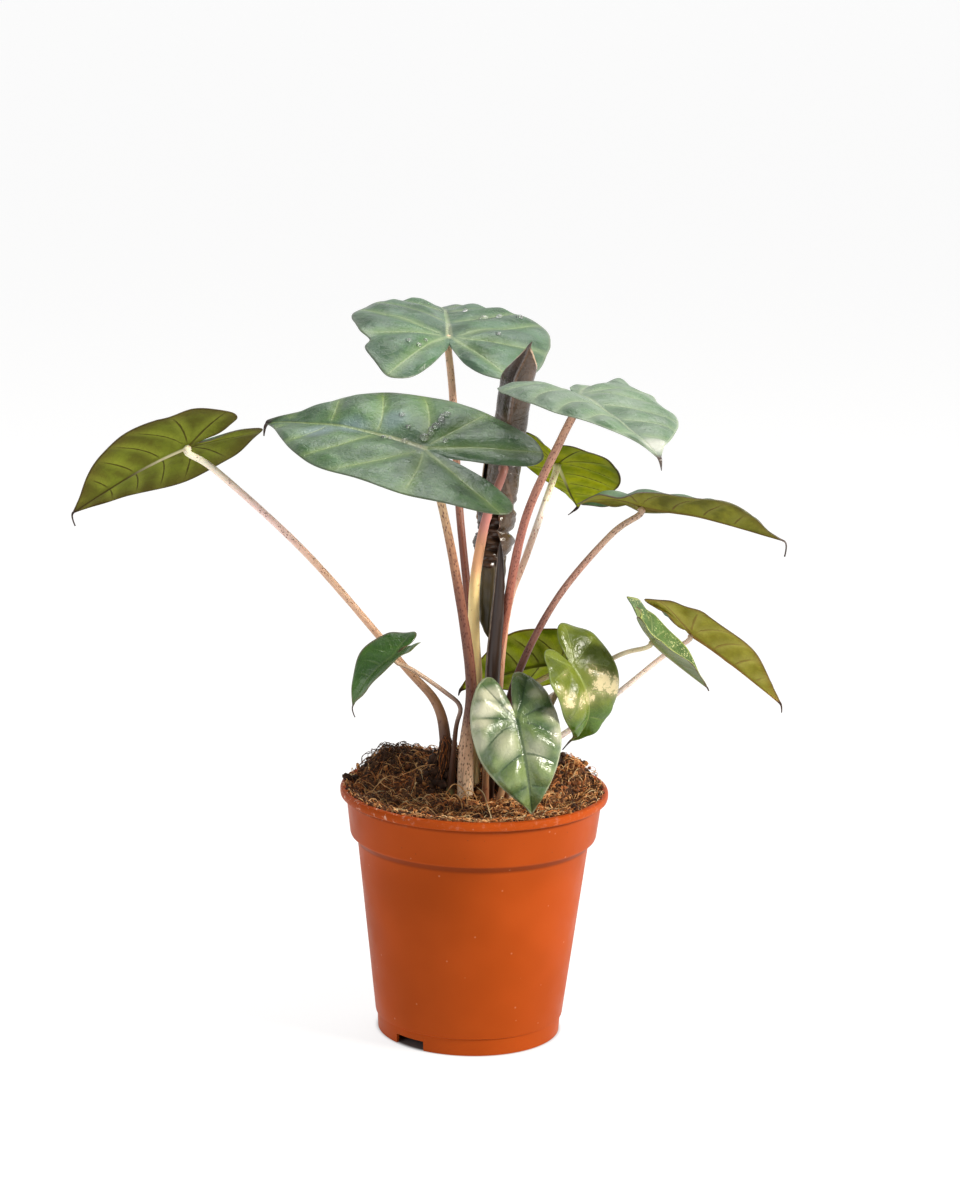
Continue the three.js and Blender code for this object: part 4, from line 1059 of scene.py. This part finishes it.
# Single larger lumps, as (x, y, size, how far up it sits, skin)
PLACED_LUMPS = [
    (-57.3, 5, 2.1, 0.7, 0), (-54, 9, 1.8, 0.6, 0), (44, -26, 1.9, 0.5, 0), (37.5, 20, 1.8, 1.3, 0),
    (39.5, 22, 1.4, 1.8, 0), (40, 19, 1.6, 0.6, 0), (30, 40, 2.2, 0.6, 1),
]
LONG_STRAWS = [
    [(1, -21, 118), (4, -28, 117), (6, -36, 113), (8, -43, 109)],
    [(-46, -6, 110), (-42, -2, 114), (-38, 1, 116), (-33, 3, 114)],
    [(-38, 6, 113), (-30, 4, 117), (-24, 4, 120), (-17, 5, 121)],
]
ROOT_LOOPS = [
    [(-13, -14, 112), (-9, -17, 118), (-4, -19, 115), (-3, -20, 108)],
    [(-12, -17, 108), (-9, -20, 114), (-6, -21, 112), (-5, -21, 107)],
    [(2, -16, 108), (0, -19, 114), (-3, -20, 116), (-7, -18, 112)],
]
FIBRE_POINTS = 7


def fibre_line(rng, x, y, length, rise, curl):
    """A coir fibre that starts on the soil and wanders over it, arching up by about rise."""
    heading = rng.uniform(0, 2 * math.pi)
    turn = rng.normal(0, curl)
    points = []
    for k in range(FIBRE_POINTS):
        t = k / (FIBRE_POINTS - 1)
        z = ground_height(np.array([x]), np.array([y]))[0]
        points.append((x, y, z + 0.15 + rise * math.sin(math.pi * min(1, 1.15 * t)) - 0.6 * (t < 0.01)))
        heading += turn / FIBRE_POINTS + rng.normal(0, 0.2)
        x += length / FIBRE_POINTS * math.cos(heading)
        y += length / FIBRE_POINTS * math.sin(heading)
        far = math.hypot(x, y)
        if far > WALL_INSIDE:
            x, y = x * WALL_INSIDE / far, y * WALL_INSIDE / far
            heading += 1.2
    return catmull(points, 2)


def in_pot(rng, reach=57):
    """A random place on the soil, each part of it as likely."""
    r, a = reach * math.sqrt(rng.uniform(0.0, 1)), rng.uniform(0, 2 * math.pi)
    return r * math.cos(a), r * math.sin(a)


def soil_dressing():
    """Crumbs, coir fibres, the fibrous clump at the left stalk's foot, straws and two bits of perlite."""
    rng = np.random.default_rng(7)
    # Damp peat reads nearly black, bark brown and the dust of coir orange, all without a shine
    dark = plant_matter("damp_peat_crumb", "#452A18", "#28160C")
    brown = plant_matter("bark_and_coir_pith", "#96582E", "#5A3820")
    rust = plant_matter("coir_pith_dust", "#D29258", "#A06C3C")
    places = []
    for _ in range(LOOSE_CRUMBS):
        x, y = in_pot(rng)
        size = rng.uniform(0.4, 1.2) * (1.2 if y > 10 else 1)
        places.append((x, y, size, rng.uniform(-0.1, 0.5), int(rng.choice(3, p=(0.3, 0.4, 0.3)))))
    for _ in range(RIM_CRUMBS):
        side, r = rng.uniform(0, 2 * math.pi), rng.uniform(54.5, 57.8)
        places.append((r * math.cos(side), r * math.sin(side), rng.uniform(0.5, 1.2), 0.1,
                       int(rng.choice(3, p=(0.4, 0.4, 0.2)))))
    places += PLACED_LUMPS
    places += [(rng.normal(-15, 3), rng.normal(7, 3), rng.uniform(1.2, 2.2), rng.uniform(0, 3.5), 0)
               for _ in range(CLUMP_CRUMBS)]
    lumps_piece("soil_crumbs", [dark, brown, rust], places, rng)
    # Dry coir has a faint sheen, from pale tan and straw on top to russet and dark brown between
    tan = plant_matter("dry_coir_fibre", "#FFCB8E", "#D09458", 0.7)
    straw = plant_matter("pale_straw", "#EBD3A6", "#D6B27C", 0.6)
    black = plant_matter("dark_coir_fibre", "#6A442A", "#3A2214", 0.75)
    russet = plant_matter("russet_coir_fibre", "#D88444", "#9A5A2C", 0.75)
    strands = []
    for _ in range(COIR_FIBRES):
        x, y = in_pot(rng)
        which = int(rng.choice(4, p=(0.33, 0.05, 0.22, 0.4) if x > -10 else (0.25, 0.05, 0.4, 0.3)))
        strands.append((fibre_line(rng, x, y, rng.uniform(3, 14), rng.uniform(0.3, 2.4), 0.5),
                        rng.uniform(0.22, 0.5), which))
    for _ in range(LONG_FIBRES):
        x, y = in_pot(rng, 50)
        strands.append((fibre_line(rng, x, y, rng.uniform(9, 20), rng.uniform(0.5, 2.4), 0.9),
                        rng.uniform(0.25, 0.4), int(rng.choice(2))))
    for _ in range(CURLED_FIBRES):
        x, y = rng.normal(-40, 6), rng.normal(26, 7)
        if math.hypot(x, y) < 53:
            strands.append((fibre_line(rng, x, y, rng.uniform(8, 20), rng.uniform(1.5, 4.5), 5), 0.4, 2))
    for _ in range(RIM_FIBRES):
        side, r = rng.uniform(0, 2 * math.pi), rng.uniform(54.5, 58)
        arc, tilt = rng.uniform(-0.14, 0.14), rng.uniform(-1.5, 1.2)
        line = [((r + tilt * t) * math.cos(side + arc * t), (r + tilt * t) * math.sin(side + arc * t),
                 112.4 + 1.2 * math.sin(math.pi * t)) for t in (0, 0.3, 0.6, 1)]
        strands.append((catmull(line, 2), rng.uniform(0.25, 0.5),
                        int(rng.choice(4, p=(0.3, 0.1, 0.3, 0.3)))))
    for _ in range(CLUMP_FIBRES):
        side, reach, start = rng.uniform(0, 6.28), rng.uniform(2, 7), rng.uniform(119, 134)
        steps = ((0, 2.6), (0.3, 3.2), (0.6, 2.6 + 0.6 * reach), (1, 3 + reach))
        line = [(CLUMP[0] + r * math.cos(side) + rng.normal(0, 0.7),
                 CLUMP[1] + r * math.sin(side) + rng.normal(0, 0.7), mix(start, 115, t ** 1.3))
                for t, r in steps]
        strands.append((catmull(line, 4), 0.4, int(rng.choice(4, p=(0.06, 0.02, 0.8, 0.12)))))
    for line in LONG_STRAWS:
        strands.append((catmull(line, 6), 0.55, 1 if line[0][1] < -20 else 0))
    for line in ROOT_LOOPS:
        strands.append((catmull(line, 6), 0.7, 0))
    strands_piece("coir_fibres", [tan, straw, black, russet], strands, sides=3)
    # Chalky white, the palest thing in the pot
    perlite = plant_matter("perlite_bit", "#F2EFE6", "#DAD4C6", 0.9)
    lumps_piece("perlite_bits", [perlite], [(-19, -38, 1.3, 0.9, 0), (31, -33, 0.7, 0.6, 0)], rng)


# Pot: the wall's section as in the part's source, with its edges rounded
FOOT_RADIUS = 41
FLOOR = 4.5
PAD = 14
WALL = 1.2
POT_SECTION = [
    (0, 0), (PAD, 0), (PAD + 2, FLOOR), (FOOT_RADIUS - 1.6, FLOOR), (FOOT_RADIUS - 1.2, 0),
    (FOOT_RADIUS, 0), (41.45, 7.3), (41.45, 7.7), (42.2, 8.1), (42.35, 8.7), (51.8, 87.6), (52.1, 88.5),
    (54.9, 91.1), (55.25, 92.0), (57.15, 107.6), (57.5, 108.3), (58.9, 108.5), (59.8, 109.1), (60, 109.9),
    (60, 111.4), (59.7, 112.2), (59, 112.6), (58.2, 112.6), (57.2, 112.3), (56.6, 111.5), (55.9, 107.4),
    (53.9, 92.2), (50.7, 89.1), (41, FLOOR + 3), (39.2, FLOOR + WALL), (PAD + 1, FLOOR + WALL),
    (PAD - 1.2, WALL), (0, WALL),
]
SLOT_WIDTH, SLOT_HEIGHT, SLOT_FIRST, SLOTS = 15.6, 4.4, -130, 2
HOLE_RADIUS, HOLE_RING, HOLES = 4, 27, 6


def pot_piece():
    """The pot's wall and floor, turned from its section, with foot slots and drain holes cut out."""
    sides = 192
    section = []
    for (r0, z0), (r1, z1) in zip(POT_SECTION, POT_SECTION[1:]):
        pieces = max(1, int(math.hypot(r1 - r0, z1 - z0) / 8))
        section += [(mix(r0, r1, k / pieces), mix(z0, z1, k / pieces)) for k in range(pieces)]
    section.append(POT_SECTION[-1])
    shape = bmesh.new()
    rings = []
    for r, z in section:
        if r < 1e-6:
            rings.append([shape.verts.new((0, 0, z * MM))])
            continue
        turns = (2 * math.pi * i / sides for i in range(sides))
        rings.append([shape.verts.new((r * MM * math.cos(a), r * MM * math.sin(a), z * MM)) for a in turns])
    for low, high in zip(rings, rings[1:]):
        for i in range(sides):
            j = (i + 1) % sides
            if len(low) == 1:
                shape.faces.new((low[0], high[j], high[i]))
            elif len(high) == 1:
                shape.faces.new((low[i], low[j], high[0]))
            else:
                shape.faces.new((low[i], low[j], high[j], high[i]))
    bmesh.ops.recalc_face_normals(shape, faces=shape.faces)
    mesh = bpy.data.meshes.new("pot_shell")
    shape.to_mesh(mesh)
    shape.free()
    piece = bpy.data.objects.new("pot_shell", mesh)
    bpy.context.scene.collection.objects.link(piece)
    tool = bmesh.new()
    slot_size = Matrix.Diagonal(Vector((8, SLOT_WIDTH, 2 * SLOT_HEIGHT)) * MM).to_4x4()
    for k in range(SLOTS):
        turn = Matrix.Rotation(math.radians(SLOT_FIRST + k * 360 / SLOTS), 4, "Z")
        place = turn @ Matrix.Translation(Vector((FOOT_RADIUS - 0.5, 0, 0)) * MM)
        bmesh.ops.create_cube(tool, size=1, matrix=place @ slot_size)
    for k in range(HOLES):
        turn = Matrix.Rotation(math.radians((k + 0.5) * 360 / HOLES), 4, "Z")
        place = turn @ Matrix.Translation(Vector((HOLE_RING, 0, FLOOR + WALL / 2)) * MM)
        bmesh.ops.create_cone(tool, cap_ends=True, segments=28, radius1=HOLE_RADIUS * MM,
                              radius2=HOLE_RADIUS * MM, depth=4 * MM, matrix=place)
    tool_mesh = bpy.data.meshes.new("cutters")
    tool.to_mesh(tool_mesh)
    tool.free()
    cutter = bpy.data.objects.new("cutters", tool_mesh)
    bpy.context.scene.collection.objects.link(cutter)
    cut = piece.modifiers.new("cut", "BOOLEAN")
    cut.operation = "DIFFERENCE"
    cut.solver = "EXACT"
    cut.object = cutter
    depsgraph = bpy.context.evaluated_depsgraph_get()
    result = bpy.data.meshes.new_from_object(piece.evaluated_get(depsgraph))
    piece.modifiers.clear()
    piece.data = result
    bpy.data.objects.remove(cutter)
    result.materials.clear()
    result.materials.append(pot_plastic())
    result.polygons.foreach_set("use_smooth", [True] * len(result.polygons))
    result.set_sharp_from_angle(angle=math.radians(35))
    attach(piece, "root")
    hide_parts("pot")


# Light and floor
FLOOR_REACH = 60
# The floor glows outside the foot's edge, from the first radius in mm to the second; inside it the glow
# fades to a painted contact shadow
FOOT_SHADOW_RADII = (39, 43)
FLOOR_GLOW = 0.84
# Strength of the studio's light in front, and how much more there is behind the plant
STUDIO_DIM, STUDIO_MORE = 0.24, 0.65
# Lights as (name, place in metres, size in metres, watts, tint), all aimed at the plant's middle
LIGHTS = [
    ("key", (1.35, -0.6, 0.95), 0.5, 38, (1, 0.95, 0.85)),
    ("top", (0.1, 0.5, 1.4), 0.9, 9, (1, 1, 1)),
    ("fill", (-1.0, -1.1, 0.5), 0.9, 5, (1, 1, 1)),
]
LIGHT_AIM = (0, 0, 0.17)


def stage():
    """A white floor that glows evenly outside a painted shadow under the foot, a pale studio, brightest
    behind the plant, and three lights.
    """
    floor_mesh = bpy.data.meshes.new("floor")
    corners = [(x * FLOOR_REACH, y * FLOOR_REACH, 0) for x, y in ((-1, -1), (1, -1), (1, 1), (-1, 1))]
    floor_mesh.from_pydata(corners, [], [(0, 1, 2, 3)])
    floor = bpy.data.objects.new("floor", floor_mesh)
    bpy.context.scene.collection.objects.link(floor)
    floor.location.z = -0.05 * MM
    # Opal acrylic lit from below: near white all round, with a painted soft contact shadow under the foot
    material, tree, place = new_material("lit_white_acrylic_sweep")
    flat = add(tree, "VectorMath", (place, (1, 1, 0)), **TIMES)
    away = add(tree, "VectorMath", (flat,), operation="LENGTH")
    acrylic = add(tree, "BsdfPrincipled", {
        "Base Color": (0.2, 0.2, 0.2, 1), "Roughness": 0.8, "Emission Color": (1, 1, 1, 1),
        "Emission Strength": add(tree, "MapRange", (away, *FOOT_SHADOW_RADII, 0, FLOOR_GLOW), **SMOOTH)})
    add(tree, "OutputMaterial", (acrylic,))
    floor_mesh.materials.append(material)
    world = bpy.data.worlds.new("studio")
    world.use_nodes = True
    tree = world.node_tree
    way = add(tree, "SeparateXYZ", (add(tree, "TexCoord"),))
    behind = add(tree, "MapRange", (way.outputs[1], -0.1, 0.8), **SMOOTH)
    low = add(tree, "MapRange", (way.outputs[2], 0.25, 0.95, 1, 0.25), **SMOOTH)
    bright = add(tree, "Math", (behind, low), **TIMES)
    strength = add(tree, "Math", (bright, STUDIO_MORE, STUDIO_DIM), **TIMES_PLUS)
    background = tree.nodes["Background"]
    background.inputs[0].default_value = (1, 1, 1, 1)
    tree.links.new(strength.outputs[0], background.inputs[1])
    bpy.context.scene.world = world
    for name, stand, size, power, tint in LIGHTS:
        data = bpy.data.lights.new(name, "AREA")
        data.color = tint
        data.size = size
        data.energy = power
        lamp = bpy.data.objects.new(name, data)
        lamp.location = stand
        aim = Vector(LIGHT_AIM) - Vector(stand)
        lamp.rotation_euler = aim.to_track_quat("-Z", "Y").to_euler()
        bpy.context.scene.collection.objects.link(lamp)
    bpy.context.scene.view_settings.view_transform = "Standard"


place_camera()
stage()

# The side of each blade that the front view doesn't show: grey green above, paler and veined below
BACK_SKINS = dict(
    upper=leaf_skin("grey_green_leaf_top", "#5E8058", "#48684A", "#9AAC7C", "#6A5048", shine=0.36,
                    gloss=0.4),
    under=leaf_skin("pale_green_leaf_underside", "#7E9058", "#6C7E4A", "#A89A6A", "#6A4A40", raised=True,
                    gloss=0.3, glow=0.2))
SKINS = {
    # Underside with a brown flush, raised dark veins and light coming through the green
    "far_left": dict(under=leaf_skin(
        "brown_flushed_leaf_underside", "#7E882E", "#6A6C28", "#46381A", "#3E2A20", near="#9AA43C",
        flush="#5E4A2C", flush_share=0.6, flush_reach=12, raised=True, gloss=0.03, glow=0.22,
        base_vein="#F4E8C0", vein_width=0.8, side_strength=1, vein_strength=0.85, shine=0.55,
        rim_strength=0.5)),
    # Large waxy leaf: grey bloom, pale veins and painted blue-white sky reflections over dark green
    "broad_left": dict(upper=leaf_skin(
        "grey_green_bloomed_leaf_painted_reflections", "#5E8458", "#3E6242", "#B2C480", "#5A4A4E", near="#7E9C5C",
        bloom="#82988E", bloom_share=0.25, flush="#66705E", flush_share=0.3, flush_reach=8,
        patch="#92A8B0", ragged=0.0, shine=0.32, gloss=0.55, pucker=1.1, rim_strength=0.3, rim_width=0.6,
        base_vein="#F6F6CC", vein_width=1.4, vein_strength=0.55, side_strength=0.7)),
    # Waxy dark green with a grey bloom and broad pale veins
    "top": dict(upper=leaf_skin(
        "waxy_green_leaf", "#426E46", "#2C5236", "#A8BA8A", "#8A9280", near="#809A6C", bloom="#7A928A",
        bloom_share=0.3, flush="#7A7E7A", flush_share=0.25, flush_reach=7, shine=0.32, gloss=0.55,
        pucker=0.9, rim_strength=0.4, base_vein="#CCD4A8", vein_width=1.5, vein_strength=0.55,
        side_strength=0.7)),
    # The palest waxy leaf, greyed by bloom, with a white glint at its end
    "upper_right": dict(upper=leaf_skin(
        "pale_waxy_leaf", "#6A8A68", "#4E7050", "#B4C2A0", "#A8B49C", near="#8AA07C", bloom="#98A69C",
        bloom_share=0.4, patch="#F4F2EA", ragged=0.0, shine=0.32, gloss=0.55, pucker=0.9,
        rim_strength=0.5, vein_width=1.3)),
    # Thin underside lit through to a yellow green, with dark veins
    "back_right": dict(under=leaf_skin(
        "sunlit_leaf_underside", "#CCD214", "#94A60A", "#4A4614", "#3E2E14", near="#D0D83C",
        flush="#6A4A22", flush_share=0.35, flush_reach=5, raised=True, gloss=0.03, glow=0.4,
        vein_width=0.8, side_strength=1, vein_strength=0.85, shine=0.55, base_vein="#F0EAB0")),
    # Olive underside with a strong brown flush and a pale rim
    "right": dict(under=leaf_skin(
        "brown_olive_leaf_underside", "#9A983C", "#6E6E2E", "#6A4230", "#7E8664", near="#A0A04A",
        flush="#6A4432", flush_share=0.5, flush_reach=7, raised=True, gloss=0.03, glow=0.22, shine=0.55,
        side_strength=1, rim_strength=0.6)),
    # Yellow-olive underside that ages to a warm brown at its edge
    "low_right": dict(under=leaf_skin(
        "olive_yellow_leaf_underside", "#D8D45C", "#B0AC40", "#965040", "#8A6A4E", near="#DCD870",
        flush="#A0683E", flush_share=0.45, flush_reach=7, raised=True, gloss=0.03, glow=0.3,
        side_strength=0.7, shine=0.55, rim_strength=0.5)),
    # Glossy leaf with soft cream patches, partly scorch and partly painted sheen, and painted shade in its
    # creases: the darker green beside its veins
    "front": dict(upper=leaf_skin(
        "glossy_cream_scorch_and_painted_sheen_leaf", "#86985E", "#5E7648", "#304A2C", "#C8CEAC", near="#42603C",
        patch="#EAE6CC", ragged=0.0, shine=0.27, gloss=0.9, vein_strength=0.7, rim_strength=0.6,
        pucker=0.9, side_strength=1, vein_width=1.2, tip="#6A584E")),
    # Green with fine cream specks
    "small_right": dict(upper=leaf_skin(
        "cream_speckled_leaf", "#5E7E44", "#466238", "#A6B47A", "#B2BA6A", speck_share=0.45, shine=0.34)),
    # Fresh green with torn cream scorch marks across its middle
    "inner_right": dict(upper=leaf_skin(
        "fresh_cream_scorched_leaf", "#768228", "#566420", "#96A454", "#8A9A5A", patch="#E6D6A6",
        shine=0.3, gloss=0.6, vein_strength=0.5, rim_strength=0.5, end="#466A10", pucker=0.9)),
    # Young underside, lit through to a bright green
    "inner_back": dict(under=leaf_skin(
        "sunlit_young_leaf_underside", "#C6DC2C", "#7A9414", "#5A5A20", "#6A4A20", near="#CCD860",
        raised=True, gloss=0.03, glow=0.4, side_strength=1, vein_strength=0.8, shine=0.55)),
    # Deep glossy green
    "small_left": dict(upper=leaf_skin(
        "deep_green_glossy_leaf", "#4E7830", "#3A6228", "#7C985A", "#6A6A40", bloom="#6A8664",
        bloom_share=0.4, shine=0.26, gloss=0.7, vein_strength=0.5)),
}
STALKS = {
    # Cream under the blade, rose and dark-dashed below, dark brown at its foot
    "far_left": stalk_skin(
        "cream_to_dark_petiole", [(106, "#C4BA8C"), (116, "#7A5A40"), (124, "#5A3A26"), (134, "#6A4834"),
        (148, "#AE8262"), (165, "#DCAC88"), (200, "#E4BA9C"), (232, "#F8D6CC"), (256, "#FFF6DC")],
        specks=0.45),
    # Beige at both ends, maroon between them, heavily dashed
    "broad_left": stalk_skin(
        "beige_to_maroon_petiole", [(104, "#FFE2C0"), (130, "#E8BE9C"), (150, "#704838"), (200, "#804E3A"),
        (222, "#AA7A5A"), (245, "#C8A680")], speck="#4E1C16", specks=0.95, dash_size=1.0),
    # Dull maroon that pales under the blade
    "top": stalk_skin(
        "maroon_petiole", [(110, "#74442F"), (215, "#7C4434"), (262, "#CC9880"), (300, "#F0C8AC")],
        specks=0.6),
    # Rose with maroon dashes
    "upper_right": stalk_skin(
        "rose_petiole", [(110, "#A87058"), (190, "#A8644E"), (232, "#AA6C5C"), (285, "#C89A80")],
        speck="#5E2420", specks=0.8),
    # Nearly white under the blade, rose and freckled below
    "back_right": stalk_skin(
        "pale_freckled_petiole", [(110, "#BE8A6C"), (175, "#DCA688"), (195, "#FFCCB0"), (212, "#FFD8C2"),
        (230, "#FFF2E6"), (246, "#FFF6C8")], speck="#B86E54", specks=0.55),
    # Dusky maroon
    "right": stalk_skin(
        "dusky_maroon_petiole", [(112, "#523420"), (150, "#6E443C"), (182, "#8E6054"), (208, "#B08474"),
        (232, "#D4B49C")], speck="#4A1C1A", specks=0.7),
    # Very pale pink
    "low_right": stalk_skin(
        "pale_pink_petiole", [(112, "#D8B89C"), (140, "#FFF0E4"), (175, "#F6DCCC")], specks=0.35),
    # Olive tan
    "front": stalk_skin("olive_tan_petiole", [(108, "#8A5E44"), (150, "#B29A6A")], specks=0.5),
    # Pale, greenish under the blade
    "small_right": stalk_skin(
        "pale_petiole", [(112, "#D8B89C"), (160, "#FFF4EA"), (182, "#E6D8AE")], specks=0.35),
    # Pale olive
    "inner_right": stalk_skin("pale_olive_petiole", [(108, "#B08A66"), (165, "#B8A27A")], specks=0.4),
    # Shaded olive
    "inner_back": stalk_skin("shaded_olive_petiole", [(110, "#8E7A4E"), (155, "#A09464")], specks=0.4),
    # Thin and rosy, on a dark foot
    "small_left": stalk_skin(
        "thin_dark_footed_petiole", [(106, "#9A9A66"), (114, "#4A2E1E"), (138, "#60402C"),
        (150, "#A08478"), (168, "#BC9E84")], specks=0.4),
}

for seed, (leaf_name, leaf) in enumerate(LEAVES.items()):
    skins = BACK_SKINS | SKINS[leaf_name]
    blade_piece(leaf_name, leaf, skins["upper"], skins["under"], seed, **SURFACES[leaf_name])
    up = blade_axes(leaf["heading"], leaf["pitch"], leaf["roll"])[2]
    line = stalk_line(leaf["foot"], leaf["via"], np.array(leaf["joint"]) - HEAD_BELOW_JOINT * up, -up)
    tube_piece(f"{leaf_name}_stalk", line, stalk_radius(leaf["radii"]), STALKS[leaf_name],
               replaces=(f"leaf_{leaf_name}_petiole",), seed=seed)

# The young leaf is bronze: wet-looking outside, duller within, glossy again on the inner turns
bronze = leaf_skin("bronze_young_leaf", "#46341F", "#2E231C", "#7A5C4A", "#D0B49A", shine=0.19, gloss=0.9,
                   vein_strength=0.45, side_strength=0.2, glow=0.05, flush="#5E4A46", flush_share=0.4,
                   rim_width=0.5)
inner_bronze = leaf_skin("bronze_young_leaf_inside", "#3E3026", "#30261E", "#5A4636", "#C2A68C", shine=0.35,
                         vein_strength=0.3, glow=0.1, rim_width=0.5)
rolled_piece(bronze, inner_bronze)
inner_turns_skin = stalk_skin("bronze_inner_turns", [(205, "#463428"), (260, "#503C32")], speck="#33261E",
                              specks=0.2, shine=0.16)
inner_turns_piece(inner_turns_skin)
# Dark olive lobes with a dull shine
lobe_skin = stalk_skin("dark_olive_rolled_lobe", [(180, "#3E3A22"), (215, "#4A3E2A")], speck="#2E2418",
                       specks=0.3, shine=0.3)
for seed, (lobe_line, lobe_size) in enumerate(HANGING_LOBES):
    lobe_piece(f"rolled_lobe_{seed + 1}", lobe_line, lobe_size, lobe_skin, 30 + seed)
rolled_line = stalk_line(ROLLED_STALK["foot"], ROLLED_STALK["via"], ROLLED_STALK["head"],
                         ROLLED_STALK["neck_way"])
# Butter yellow below, pink towards the young blade
rolled_skin = stalk_skin("yellow_to_pink_petiole", [
    (112, "#F6DEA6"), (200, "#FFE29C"), (218, "#EAAE80"), (234, "#C6827A"), (252, "#9A665C")],
    speck="#A8664A", specks=0.15)
tube_piece("rolled_stalk", rolled_line, stalk_radius(ROLLED_STALK["radii"]), rolled_skin,
           replaces=("rolled_leaf_petiole",), seed=20)
# Nearly black, with a satin shine and a pale dry edge
spear_skin = stalk_skin("charcoal_spear", [(110, "#3C2A22"), (220, "#30221C")], speck="#241A1A",
                        specks=0.25, shine=0.3)
spear_line = stalk_line(SPEAR["foot"], SPEAR["via"], SPEAR["tip"])
tube_piece("spear_roll", spear_line, spear_radius, spear_skin, replaces=("spear",), seed=21)
strands_piece("spear_edge", [plant_matter("dry_sheath_edge", "#A08A78", "#7A6658", 0.6)],
              [(spear_edge(even(spear_line, 300)[0]), 0.5, 0)])

soil_piece(potting_mix())
soil_dressing()
pot_piece()
